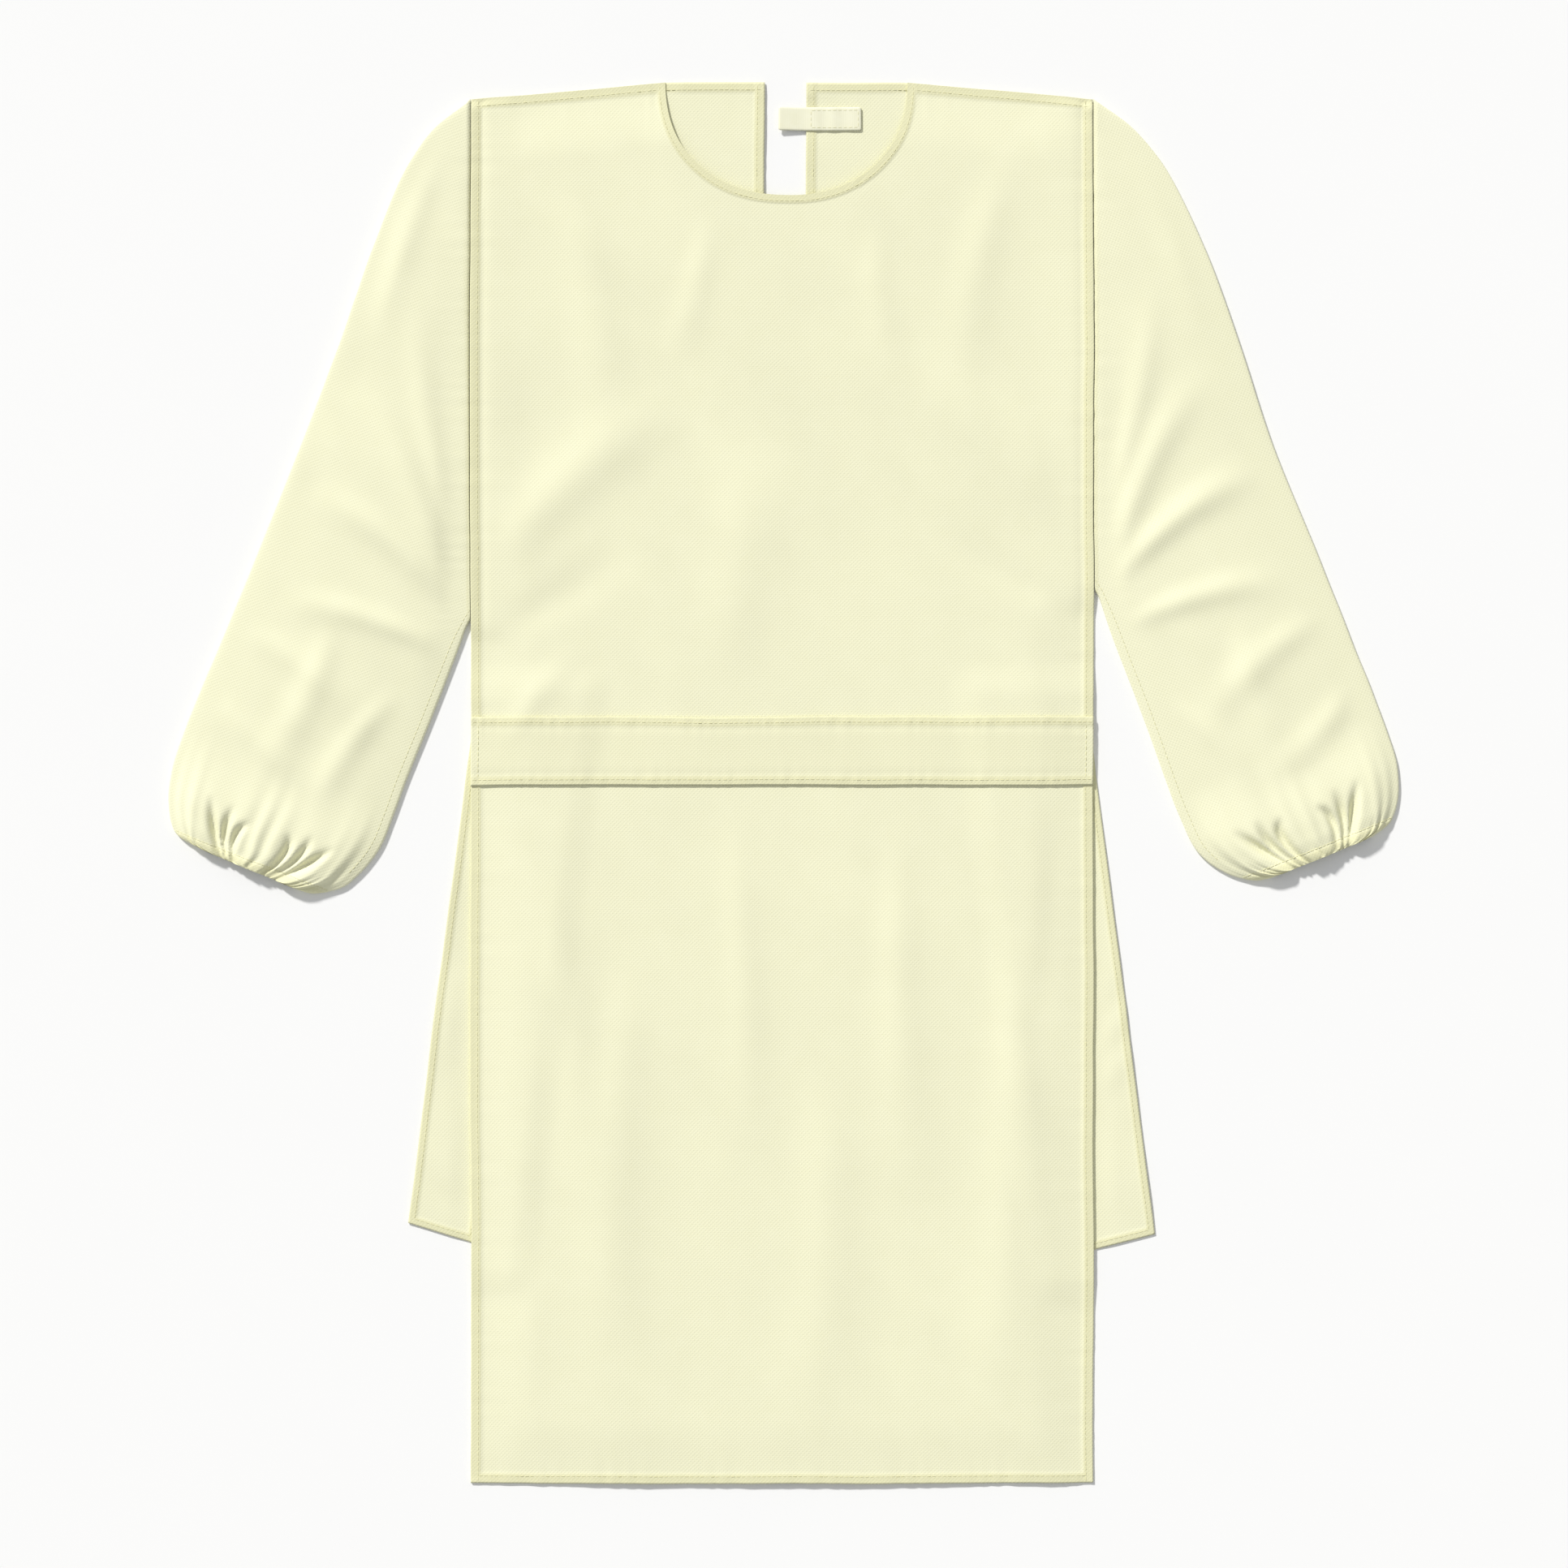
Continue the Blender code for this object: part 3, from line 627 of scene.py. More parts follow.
tab = {"length": 0.068, "width": 0.0193, "x": 0.031, "y": 0.5453, "height": 0.00255, "curl": 0.0011,
       "corner": 0.0012, "stitchInset": 0.0026, "stitchStart": 0.0235, "stitchLift": 0.0004,
       "halfThickness": 0.00035, "edgeDrop": 0.00035, "edgeReach": 0.0012}


def backWaves(side, x, y):
    # the free opening edge lifts a little in slow waves, the stitches at it and at the top
    # draw in small puckers, and the tab holds both down
    sign = sideSign[side]
    edge = np.exp(-np.maximum(sign * (x - gown["openingX"][side]), 0.0) / 0.018)
    wave = back["openingLift"] * edge * (0.5 + 0.5 * unevenWave(y, 0.085, 2.0 + sign))
    inNeck = ease((y - 0.47) / 0.02)
    fromTop = np.maximum(shoulderLine(x) - y, 0.0)
    shown = ease((gown["neckHalfWidth"] - 0.004 - np.abs(x - gown["neckCentreX"])) / 0.008)
    pucker = back["pucker"] * np.exp(-fromTop / 0.010) * (1.0 + unevenWave(x, 0.012, 3.0)) * shown
    pucker = pucker + back["pucker"] * edge * (1.0 + unevenWave(y, 0.013, 5.0)) * inNeck
    beside = np.maximum(np.abs(x - tab["x"]) - tab["length"] / 2,
                        np.abs(y - tab["y"]) - tab["width"] / 2)
    return (wave * inNeck + pucker) * ease((beside - 0.002) / 0.008)


def backSurface(side):
    # rows and columns close together at the turned edges
    sign = sideSign[side]
    opening = gown["openingX"][side]
    width = gown["halfWidth"] - sign * opening
    across = spacing(width, (0.012, 0.012), back["fineStep"], back["step"])
    columns = sign * (gown["halfWidth"] - across)
    topRows = spacing(1.0, (0.010, 0.012), back["fineStep"], back["step"])
    x = np.repeat(columns[None, :], len(topRows), axis=0)
    rise = shoulderLine(x[0]) - gown["hemY"]
    y = gown["hemY"] + topRows[:, None] * rise[None, :]
    fromOpening = sign * (x - opening)
    fromTop = shoulderLine(x) - y
    band = np.maximum(edgeBand(fromOpening, gown["hemWidth"]), edgeBand(fromTop, gown["hemWidth"]))
    band = np.maximum(band, edgeBand(y - gown["hemY"], gown["hemWidth"]))
    return x, y, backHeight(x, y) + backWaves(side, x, y), band


for side, sign in sideSign.items():
    x, y, z, band = backSurface(side)
    if sign > 0:
        x, y, z, band = x[:, ::-1], y[:, ::-1], z[:, ::-1], band[:, ::-1]
    standing = ease((gown["neckHalfWidth"] - 0.005 - np.abs(x - gown["neckCentreX"])) / 0.006)
    standing = standing * ease((y - gown["yokeY"]) / 0.015)
    piece = flatShell(f"backPanel_{side}", x, y, z, band, bodyCloth, standing)
    finishPiece(piece, f"back_{side}")
    opening = gown["openingX"][side]

    def height(px, py, side=side):
        return backHeight(px, py) + backWaves(side, px, py)

    # the rows of the opening and the neck show from above; all of them show from below
    lowY, topY = gown["hemY"] + 0.004, gown["neckPointY"] - inset
    openX, sideX = opening + sign * inset, sign * (hw - inset)
    startX, endX = opening + sign * 0.003, sign * (hw - 0.003)
    neckX = gown["neckCentreX"] + sign * gown["neckHalfWidth"]
    neckPointX = gown["neckCentreX"] + sign * (gown["neckHalfWidth"] + 0.007)
    rows = [
        straightRow(openX, lowY, openX, gown["neckPointY"] - 0.002, height, seamLift),
        straightRow(startX, topY, neckX, topY, height, seamLift),
    ]
    for x0, y0, x1, y1 in ((openX, lowY, openX, gown["neckPointY"] - 0.002),
                           (startX, hemRowY, endX, hemRowY),
                           (sideX, lowY, sideX, gown["shoulderTipY"] - 0.001),
                           (startX, topY, neckPointX, topY),
                           (neckPointX, topY, endX, tipRowY)):
        rows.append(straightRow(x0, y0, x1, y1, height, underLift))
    sewn = stitchRows(f"backStitches_{side}", rows, thread)
    finishPiece(sewn, None)
print("procedure gown: backs made")

# the belt band across the front waist
belt = {"bottomY": -0.002, "topY": 0.054, "offset": 0.00110, "stitchInset": 0.0045, "pucker": 0.00035,
        "crown": 0.0006, "step": 0.0030, "fineStep": 0.0012}


def beltHeight(x, y):
    # the front's own surface moved out, a little full between the two rows of stitches,
    # with short puckers at each row
    up = np.minimum(y - belt["bottomY"], belt["topY"] - y)
    full = belt["crown"] * ease((up - belt["stitchInset"]) / 0.010)
    lower = np.exp(-np.abs(y - belt["bottomY"] - belt["stitchInset"]) / 0.006)
    upper = np.exp(-np.abs(belt["topY"] - belt["stitchInset"] - y) / 0.006)
    pucker = lower * (1.0 + unevenWave(x, 0.011, 8.0)) + upper * (1.0 + unevenWave(x, 0.012, 9.0))
    return frontHeight(x, y) + belt["offset"] + full + belt["pucker"] * pucker


columns = -hw + spacing(2 * hw, (0.010, 0.010), belt["fineStep"], belt["step"])
levels = spacing(belt["topY"] - belt["bottomY"], (0.008, 0.008), belt["fineStep"], belt["step"])
levels = belt["bottomY"] + levels
x, y = np.meshgrid(columns, levels)
up = np.minimum(y - belt["bottomY"], belt["topY"] - y)
band = edgeBand(up, belt["stitchInset"] + 0.003) * 0.9
beltPiece = flatShell("beltBand", x, y, beltHeight(x, y), np.maximum(band, 0.25), beltCloth)
finishPiece(beltPiece, "belt")
beltLift = gown["cloth"] / 2 + gown["hemStep"] * 0.9 + 0.0001
endLift = beltLift - gown["hemStep"] * 0.35
lowRowY, highRowY = belt["bottomY"] + belt["stitchInset"], belt["topY"] - belt["stitchInset"]
rows = [straightRow(-hw + 0.001, rowY, hw - 0.001, rowY, beltHeight, beltLift)
        for rowY in (lowRowY, highRowY)]
rows += [straightRow(rowX, belt["bottomY"] + 0.001, rowX, belt["topY"] - 0.001, beltHeight, endLift)
         for rowX in (-hw + inset, hw - inset)]
beltSewing = stitchRows("beltStitches", rows, thread)
finishPiece(beltSewing, None)
print("procedure gown: belt made")


def tieHeight(side, x, y):
    # flat under the body; outside it the strip lifts in slow waves
    sign = sideSign[side]
    outside = ease((sign * x - gown["halfWidth"] - 0.002) / 0.018)
    slow = 0.5 + 0.5 * unevenWave(y + 0.3 * sign * x, 0.145, 2.0 + sign)
    slant = 0.5 + 0.5 * unevenWave(y - 0.8 * sign * x, 0.060, 5.0 + sign)
    return gown["restHeight"] + outside * ties["wave"] * (0.75 * slow + 0.25 * slant)


for side, sign in sideSign.items():
    tie = ties[side]
    slope, width = tieSlant(side)
    across = spacing(1.0, (0.17, 0.17), 0.024, 0.055)
    down = spacing(1.0, (0.02, 0.03), 0.0032, 0.0085)
    shareAcross, shareDown = np.meshgrid(across, down)
    endY = tie["endY"] - tie["endSlope"] * width * shareAcross
    y = ties["topY"] + (endY - ties["topY"]) * shareDown
    x = tie["topX"] + slope * (ties["topY"] - y) - sign * width * shareAcross
    edge = np.minimum(shareAcross, 1.0 - shareAcross) * ties["width"]
    band = np.maximum(edgeBand(edge, ties["hem"]), edgeBand((1.0 - shareDown) * 0.41, ties["hem"]))
    z = tieHeight(side, x, y)
    order = slice(None, None, -1) if sign < 0 else slice(None)
    x, y, z, band = x[:, order], y[:, order], z[:, order], band[:, order]
    piece = flatShell(f"waistTie_{side}", x, y, z, band, beltCloth)
    finishPiece(piece, f"tie_{side}")

    def height(px, py, side=side):
        return tieHeight(side, px, py)

    hem = ties["hem"] - 0.0018
    corner = {}
    for edgeName, share in (("outer", hem / ties["width"]), ("inner", 1.0 - hem / ties["width"])):
        endHere = tie["endY"] - tie["endSlope"] * width * share + hem
        atTop = tie["topX"] - sign * width * share
        corner[edgeName] = (atTop, ties["topY"], atTop + slope * (ties["topY"] - endHere), endHere)
    rows = []
    for lift in (seamLift, underLift):
        rows.append(straightRow(*corner["outer"], height, lift))
        rows.append(straightRow(*corner["inner"], height, lift))
        rows.append(straightRow(*corner["outer"][2:], *corner["inner"][2:], height, lift))
    sewn = stitchRows(f"tieStitches_{side}", rows, thread)
    finishPiece(sewn, None)
print("procedure gown: ties made")


def tabHeight(x, y):
    # flat on the back panel, rising a little over the open strip to its free end
    free = np.clip((gown["openingX"]["right"] - x) / 0.023, 0.0, 1.0)
    return tab["height"] + tab["curl"] * free ** 1.6 + 0.0002 * unevenWave(x, 0.02, 3.0)


across, up = np.meshgrid(np.linspace(-0.5, 0.5, 61), np.linspace(-0.5, 0.5, 21))
x, y = tab["x"] + tab["length"] * across, tab["y"] + tab["width"] * up
fromEnd = (0.5 - np.abs(across)) * tab["length"]
y = tab["y"] + (y - tab["y"]) * (1.0 - 0.10 * (1.0 - ease(fromEnd / tab["corner"])))
border = np.minimum(fromEnd, (0.5 - np.abs(up)) * tab["width"])
rounding = tab["edgeDrop"] * (1.0 - ease(border / tab["edgeReach"]))
half = np.full_like(x, tab["halfThickness"])
sx, sy = settled(x, y)
tabPiece = clothShell("neckTab", np.stack([sx, sy, tabHeight(x, y) - rounding], axis=-1), half, half,
                      np.stack([x, y], axis=-1), np.zeros_like(x), tapeCloth)
finishPiece(tabPiece, "neck_tab")
start, end = tab["stitchStart"], tab["x"] + tab["length"] / 2 - tab["stitchInset"]
low = tab["y"] - tab["width"] / 2 + tab["stitchInset"]
high = tab["y"] + tab["width"] / 2 - tab["stitchInset"]
rows = [straightRow(*line, tabHeight, tab["stitchLift"], sewing["tabPitch"])
        for line in ((start, low, end, low), (start, high, end, high),
                     (start, low, start, high), (end, low, end, high))]
tabSewing = stitchRows("tabStitches", rows, thread)
finishPiece(tabSewing, None)
print("procedure gown: neck tab made")

# the sleeves: flat tubes, puffed above the elastic
sleeve = {
    "flatSize": (0.360, 0.660), "flatArea": {"left": 0.1800, "right": 0.1800},
    "foldRadius": 0.00155, "armLoft": 0.0014, "loft": 0.0034, "cells": 96, "foldSteps": 7,
    "step": 0.0052, "fineStep": 0.0019, "fineReach": 0.085, "lowerShare": 0.30,
    "puff": 0.0052, "puffStart": 0.095, "puffFull": 0.030, "puffSide": 0.14,
    "elasticHeight": 0.62, "elasticReach": 0.020, "casing": 0.0095, "underarmInset": 0.0055,
    "restHeight": 0.00045,       # middle of the lower layer's cloth
    "leastGap": 0.0011,          # between the layers, middle to middle
    "grainLean": 24.0,           # degrees between the sleeve's grain and the body's
    "troughWidth": 0.0036, "creaseWidth": 0.0026, "creaseDepth": 0.0022,
    "fineGathers": 19, "fineHeight": 0.00085, "fineReachCuff": 0.016,
    "midGathers": 9, "midHeight": 0.0009, "midReach": 0.040,
    # place along the elastic from the outer edge, then foot x, foot y, head x, head y in
    # millimetres, and depth
    "gathers": {
        "left": (
            (0.235, -465.7, -37.7, -468.3, -7.0, 0.95), (0.290, -457.0, -40.3, -447.7, -16.3, 0.92),
            (0.345, -447.7, -43.0, -433.7, -32.3, 0.85), (0.655, -406.3, -57.7, -405.7, -40.3, 0.82),
            (0.712, -397.7, -63.7, -384.3, -41.7, 0.92), (0.770, -390.3, -68.3, -365.0, -52.3, 0.95),
        ),
        "right": (
            (0.765, 394.3, -55.0, 369.0, -38.3, 0.95), (0.708, 401.7, -51.0, 388.3, -29.0, 0.92),
            (0.650, 409.7, -44.3, 409.7, -27.0, 0.82), (0.350, 450.3, -29.7, 436.3, -18.3, 0.85),
            (0.295, 459.7, -27.0, 451.0, -3.0, 0.92), (0.240, 467.7, -24.3, 471.0, 6.3, 0.95),
        ),
    },
    # sections from the armhole to the elastic edge, in millimetres:
    # outer x, outer y, underarm x, underarm y
    "left": (
        (-256.1, 560.5, -256.1, 135.8), (-287.0, 536.3, -256.6, 133.4), (-305.7, 509.7, -257.9, 131.0),
        (-334.3, 443.0, -260.2, 126.3), (-358.3, 376.3, -262.2, 121.0), (-395.0, 276.3, -265.0, 113.0),
        (-435.7, 176.3, -274.0, 89.7), (-463.0, 109.7, -293.7, 39.0), (-477.0, 76.3, -307.7, 5.0),
        (-490.3, 43.0, -319.7, -28.3), (-501.0, 9.7, -332.3, -57.0), (-503.7, -13.7, -349.0, -77.0),
        (-501.6, -33.0, -362.0, -86.7), (-495.0, -44.5, -384.0, -91.3), (-477.7, -54.3, -399.0, -87.7),
    ),
    "right": (
        (256.1, 561.0, 256.1, 160.5), (289.0, 536.3, 256.6, 158.1), (311.0, 509.7, 257.9, 155.7),
        (345.0, 443.0, 260.4, 150.3), (370.3, 376.3, 262.9, 143.0), (403.7, 276.3, 267.0, 131.0),
        (443.7, 176.3, 276.3, 105.7), (470.3, 109.7, 301.7, 39.7), (483.7, 76.3, 314.3, 5.0),
        (496.3, 43.0, 327.0, -27.7), (505.0, 13.0, 342.3, -57.0), (506.0, -10.3, 359.0, -71.0),
        (503.0, -23.6, 372.0, -77.0), (496.6, -34.5, 390.0, -80.0), (484.3, -43.7, 402.3, -77.7),
    ),
    # x0, y0, x1, y1, bow, half width, height
    "folds": {
        "left": (
            (-0.272, 0.150, -0.350, 0.330, -0.010, 0.014, 0.0030),
            (-0.268, 0.135, -0.395, 0.245, -0.014, 0.013, 0.0030),
            (-0.275, 0.105, -0.420, 0.150, -0.010, 0.012, 0.0024),
            (-0.262, 0.190, -0.300, 0.420, 0.010, 0.012, 0.0016),
            (-0.268, 0.545, -0.330, 0.340, -0.012, 0.014, 0.0015),
            (-0.445, 0.130, -0.330, 0.020, 0.012, 0.014, 0.0022),
            (-0.462, 0.075, -0.370, -0.015, -0.008, 0.013, 0.0018),
            (-0.365, 0.140, -0.440, -0.010, 0.010, 0.016, 0.0022),
            (-0.310, 0.080, -0.395, -0.050, -0.010, 0.013, 0.0019),
        ),
        "right": (
            (0.272, 0.172, 0.352, 0.345, 0.012, 0.014, 0.0029),
            (0.268, 0.158, 0.400, 0.262, 0.012, 0.013, 0.0031),
            (0.276, 0.125, 0.425, 0.165, 0.010, 0.012, 0.0022),
            (0.263, 0.215, 0.303, 0.430, -0.010, 0.012, 0.0017),
            (0.270, 0.545, 0.345, 0.350, 0.014, 0.014, 0.0014),
            (0.450, 0.140, 0.340, 0.035, -0.012, 0.014, 0.0020),
            (0.470, 0.085, 0.385, 0.000, 0.010, 0.013, 0.0019),
            (0.370, 0.135, 0.435, -0.005, -0.010, 0.016, 0.0023),
            (0.318, 0.070, 0.400, -0.040, 0.010, 0.013, 0.0018),
        ),
    },
}


def sleeveEdges(side):
    # a smooth cubic through the sections; more stations near the cuff
    table = np.array(sleeve[side]) / 1000.0
    knots = np.concatenate([[0.0], np.cumsum(np.linalg.norm(np.diff(table, axis=0), axis=1))])
    slopes = np.gradient(table, knots, axis=0)
    middles = (table[:, :2] + table[:, 2:]) / 2
    toEnd = np.linalg.norm(middles - middles[-1], axis=1)
    stations = []
    for row in range(len(table) - 1):
        run = np.linalg.norm(table[row + 1] - table[row])
        longest = max(np.linalg.norm((table[row + 1] - table[row])[:2]),
                      np.linalg.norm((table[row + 1] - table[row])[2:]))
        step = sleeve["fineStep"] if toEnd[row] < sleeve["fineReach"] else sleeve["step"]
        share = (np.arange(int(np.ceil(longest / step))) / np.ceil(longest / step))[:, None]
        blend = ease(share)
        leave, arrive = share * (1 - share) ** 2 * run, share ** 2 * (share - 1) * run
        stations.append(table[row] * (1 - blend) + table[row + 1] * blend
                        + slopes[row] * leave + slopes[row + 1] * arrive)
    stations = np.concatenate(stations + [table[-1:]])
    middles = (stations[:, :2] + stations[:, 2:]) / 2
    steps = np.linalg.norm(np.diff(middles, axis=0), axis=1)
    toCuff = np.concatenate([np.cumsum(steps[::-1])[::-1], [0.0]])
    return stations[:, :2], stations[:, 2:], toCuff


def alongPath(px, py, path):
    # distance from each point to a polyline, and how far along it the nearest place is (0 to 1)
    start, step = path[:-1], np.diff(path, axis=0)
    across = np.stack([px[..., None] - start[:, 0], py[..., None] - start[:, 1]], axis=-1)
    share = np.clip((across * step).sum(axis=-1) / (step ** 2).sum(axis=-1), 0.0, 1.0)
    apart = np.linalg.norm(across - share[..., None] * step, axis=-1)
    nearest = apart.argmin(axis=-1)[..., None]
    place = nearest[..., 0] + np.take_along_axis(share, nearest, axis=-1)[..., 0]
    return np.take_along_axis(apart, nearest, axis=-1)[..., 0], place / len(step)


def drawnGathers(side, px, py):
    # each gather runs from the elastic through its foot to its head on a smooth curve;
    # a broad trough cuts the puff and a narrow crease lies in it, both faded at the head
    outer, under = np.array(sleeve[side][-1]).reshape(2, 2) / 1000.0
    bends = np.linspace(0.0, 1.0, 9)[:, None]
    broad, narrow = np.zeros_like(px), np.zeros_like(px)
    for atElastic, footX, footY, headX, headY, depth in sleeve["gathers"][side]:
        start = outer + (under - outer) * atElastic
        foot, head = np.array([footX, footY]) / 1000.0, np.array([headX, headY]) / 1000.0
        middle = 2.0 * foot - (start + head) / 2
        path = start * (1 - bends) ** 2 + 2 * middle * bends * (1 - bends) + head * bends ** 2
        apart, place = alongPath(px, py, path)
        trough = np.exp(-((apart / sleeve["troughWidth"]) ** 2)) * ease((1.0 - place) / 0.55)
        broad = np.maximum(broad, depth * trough)
        crease = np.exp(-((apart / sleeve["creaseWidth"]) ** 1.5)) * ease((1.03 - place) / 0.42)
        narrow = np.maximum(narrow, depth * crease * (0.35 + 0.65 * ease(place / 0.5)))
    return broad, narrow * sleeve["creaseDepth"]


def cuffLift(share, toCuff):
    # the puff of the cuff, lower again at the elastic
    along = ease((sleeve["puffStart"] - toCuff) / (sleeve["puffStart"] - sleeve["puffFull"]))
    keep = sleeve["elasticHeight"]
    along = along * (keep + (1.0 - keep) * ease(toCuff / sleeve["elasticReach"]))
    across = ease(share / sleeve["puffSide"]) * ease((1.0 - share) / sleeve["puffSide"])
    return sleeve["puff"] * along * across


def cuffPuckers(share, toCuff):
    # fine folds at the elastic that merge into wider ones higher up
    edge = ease(share / 0.05) * ease((1.0 - share) / 0.05)
    fine = sleeve["fineHeight"] * unevenWave(share, 1.0 / sleeve["fineGathers"], 3.0)
    fine = fine * np.exp(-((toCuff / sleeve["fineReachCuff"]) ** 2))
    middle = sleeve["midHeight"] * unevenWave(share, 1.0 / sleeve["midGathers"], 5.0)
    middle = middle * np.exp(-(((toCuff - 0.018) / sleeve["midReach"]) ** 2))
    return (fine + middle) * edge


def sleeveSurface(side):
    # rings: upper layer, underarm fold, lower layer, outer fold; the folds are half circles
    sign = sideSign[side]
    outer, under, toCuff = sleeveEdges(side)
    across = (under - outer) / np.linalg.norm(under - outer, axis=1)[:, None]
    radius = sleeve["foldRadius"]
    first, last = outer + across * radius, under - across * radius
    share, way = np.meshgrid(np.linspace(0.0, 1.0, sleeve["cells"] + 1), toCuff)
    plan = first[:, None] + (last - first)[:, None] * share[..., None]
    px, py = plan[..., 0], plan[..., 1]
    downArm = ease((toCuff[0] - way) / (toCuff[0] / 2))
    edge = ease(share / 0.16) * ease((1.0 - share) / 0.16)
    fromArmhole = ease((np.abs(px) - gown["halfWidth"]) / 0.030)
    folds = ridges(px, py, sleeve["folds"][side])
    folds = folds + 0.0010 * softNoise(px, py, (0.045, 0.120), 41 + int(sign))
    folds = folds + 0.0004 * softNoise(px, py, (0.018, 0.050), 43 + int(sign))
    calm = ease((way - 0.030) / 0.060)
    folds = np.maximum(folds, -0.0012) * edge * fromArmhole * (0.25 + 0.75 * calm)
    fromSeam = np.abs(px) - gown["halfWidth"]
    pucker = 0.00030 * np.exp(-fromSeam / 0.012) * unevenWave(py, 0.013, 2.0 + sign)
    dip = 0.0006 * np.exp(-(fromSeam / 0.0035) ** 2)
    broad, narrow = drawnGathers(side, px, py)
    lift = cuffLift(share, way) * (1.0 - broad)
    gathers = cuffPuckers(share, way) * (1.0 - 0.5 * broad) - narrow * edge
    gap = (sleeve["armLoft"] + (sleeve["loft"] - sleeve["armLoft"]) * downArm) * crown(share)
    rest = sleeve["restHeight"]
    low = rest + lift * 0.9 + sleeve["lowerShare"] * np.maximum(folds + gathers * 0.8, 0.0)
    high = rest + 2 * radius + lift + gap + folds + gathers + (pucker - dip) * edge
    casing = ease((sleeve["casing"] - way) / 0.002)
    bulge = casing * 0.0007 * np.sin(np.pi * np.clip(way / sleeve["casing"], 0.0, 1.0))
    high = np.maximum(high + bulge, low + sleeve["leastGap"])
    turn = np.radians(90.0 - 180.0 * np.arange(1, sleeve["foldSteps"]) / sleeve["foldSteps"])
    out = across[:, None] * radius * np.cos(turn)[None, :, None]
    foldZ = np.tile(rest + radius + radius * np.sin(turn), (len(first), 1))
    underFold, outerFold = last[:, None] + out, (first[:, None] - out)[:, ::-1]
    flat = np.concatenate([plan, underFold, plan[:, ::-1], outerFold], axis=1)
    height = np.concatenate([high, foldZ, low[:, ::-1], foldZ[:, ::-1]], axis=1)
    lean = sign * np.radians(sleeve["grainLean"])
    u = flat[..., 0] * np.cos(lean) + flat[..., 1] * np.sin(lean)
    v = flat[..., 1] * np.cos(lean) - flat[..., 0] * np.sin(lean)
    # outward is straight up on the upper layer, down on the lower one, and round each fold
    above = np.zeros(plan.shape[:2] + (3,))
    above[..., 2] = 1.0
    aroundUnder = np.concatenate([across[:, None] * np.cos(turn)[None, :, None],
                                  np.tile(np.sin(turn)[None, :, None], (len(first), 1, 1))], axis=-1)
    aroundOuter = (aroundUnder * [-1.0, -1.0, 1.0])[:, ::-1]
    outward = np.concatenate([above, aroundUnder, -above, aroundOuter], axis=1)
    cuffBand = np.repeat(casing[:, :1], flat.shape[1], axis=1)
    seamBand = edgeBand(np.abs(flat[..., 0]) - gown["halfWidth"], 0.0035)
    band = np.maximum(cuffBand, 0.6 * seamBand)
    return flat, height, np.stack([u, v], axis=-1), band, toCuff, outward


for side, sign in sideSign.items():
    flat, height, grain, band, toCuff, outward = sleeveSurface(side)
    sx, sy = settled(flat[..., 0], flat[..., 1])
    points = np.stack([sx, sy, height], axis=-1)
    if sign < 0:
        points, grain, band = points[::-1], grain[::-1], band[::-1]
        toCuff, outward = toCuff[::-1], outward[::-1]
    half = np.full(band.shape, gown["cloth"] / 2)
    piece = clothShell(f"sleeve_{side}_cloth", points, half + 0.00015 * band, half, grain, band,
                       bodyCloth, outward)
    finishPiece(piece, f"sleeve_{side}")
    row = int(np.argmin(np.abs(toCuff - sleeve["casing"])))
    ring = points[row, :sleeve["cells"] + 1] + np.array([0.0, 0.0, gown["cloth"] / 2 + 0.00025])
    outer, under = sleeveEdges(side)[:2]
    widths = np.linalg.norm(under - outer, axis=1)
    widths = widths[::-1] if sign < 0 else widths
    lowerLayer = sleeve["cells"] + sleeve["foldSteps"]
    lowRing = points[row, lowerLayer:lowerLayer + sleeve["cells"] + 1] + np.array([0.0, 0.0, underLift])
    rows = [pathAlong(ring, sewing["cuffPitch"]), pathAlong(lowRing, sewing["cuffPitch"])]
    inwards = sleeve["underarmInset"] / widths * sleeve["cells"]
    number = np.arange(len(points))
    for place, lift in ((sleeve["cells"] - inwards, gown["cloth"] / 2 + 0.0001),
                        (lowerLayer + inwards, underLift)):
        column, share = np.floor(place).astype(int), (place % 1.0)[:, None]
        underarm = points[number, column] * (1.0 - share) + points[number, column + 1] * share
        rows.append(pathAlong(underarm[toCuff > 0.030] + np.array([0.0, 0.0, lift]), sewing["pitch"]))
    sewn = stitchRows(f"sleeveStitches_{side}", rows, thread)
    finishPiece(sewn, None)
print("procedure gown: sleeves made")

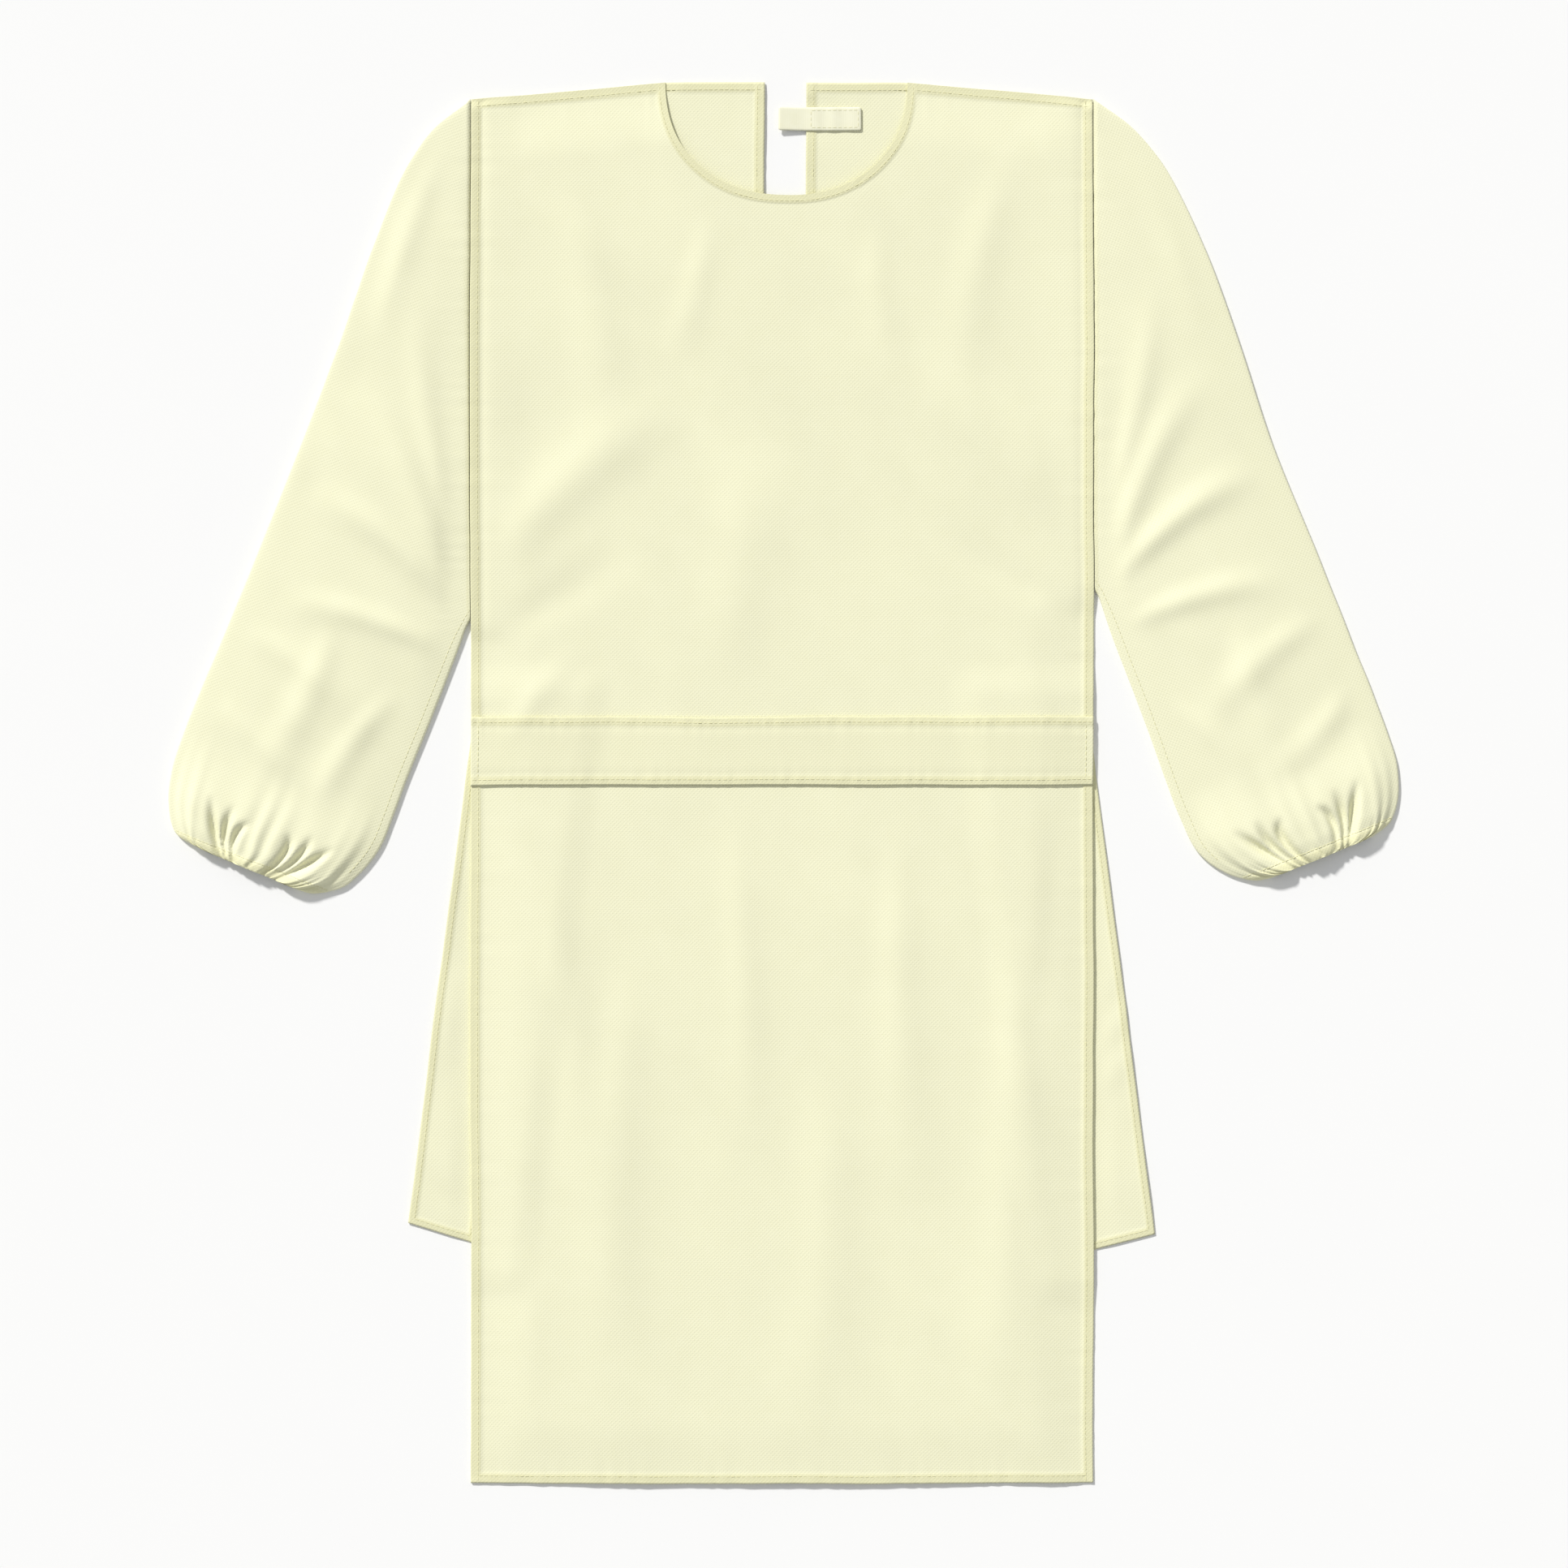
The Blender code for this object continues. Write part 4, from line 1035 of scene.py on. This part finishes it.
# the floor, the light and the camera
studio = {
    "floor": (0.925, 0.925, 0.92), "floorDeep": (0.91, 0.91, 0.91), "floorHalf": 40.0,
    "keyColour": (1.0, 0.985, 0.965),
    "keyStrength": 3.45, "keyTurn": (58.0, 0.0, 215.0), "keySoftness": 6.0,
    "ambient": (0.97, 0.985, 1.0), "ambientStrength": 0.48,
    "cameraX": 0.00167, "cameraY": -0.0010, "frameWidth": 1.288, "lens": 85.0, "sensor": 36.0,
}

floorMaterial, tree, shader = newMaterial("pale floor")
where = addNode(tree, "ShaderNodeTexCoord").outputs["Object"]
mottle = rangeOf(tree, noiseOf(tree, where, 9.0, 3.0), 0.3, 0.7, 0.0, 0.25)
floorColour = mixColour(tree, mottle, (*studio["floor"], 1.0), (*studio["floorDeep"], 1.0))
tree.links.new(floorColour, shader.inputs["Base Color"])
shader.inputs["Roughness"].default_value = 0.9
half = studio["floorHalf"]
corners = half * np.array([(-1.0, -1.0, 0.0), (1.0, -1.0, 0.0), (1.0, 1.0, 0.0), (-1.0, 1.0, 0.0)])
floor = newMesh("floor", corners, [[0, 1, 2, 3]], floorMaterial)

world = bpy.data.worlds.new("studio")
bpy.context.scene.world = world
world.use_nodes = True
world.node_tree.nodes["Background"].inputs[0].default_value = (*studio["ambient"], 1.0)
world.node_tree.nodes["Background"].inputs[1].default_value = studio["ambientStrength"]

key = bpy.data.lights.new("key", "SUN")
key.energy = studio["keyStrength"]
key.angle = np.radians(studio["keySoftness"])
key.color = studio["keyColour"]
keyLight = bpy.data.objects.new("key", key)
keyLight.rotation_euler = np.radians(studio["keyTurn"])
bpy.context.scene.collection.objects.link(keyLight)

lens = bpy.data.cameras.new("camera")
lens.lens, lens.sensor_width = studio["lens"], studio["sensor"]
camera = bpy.data.objects.new("camera", lens)
camera.location = (studio["cameraX"], studio["cameraY"],
                   studio["frameWidth"] * studio["lens"] / studio["sensor"])
bpy.context.scene.collection.objects.link(camera)
bpy.context.scene.camera = camera
bpy.context.scene.view_settings.view_transform = "Standard"
print("procedure gown: studio made")
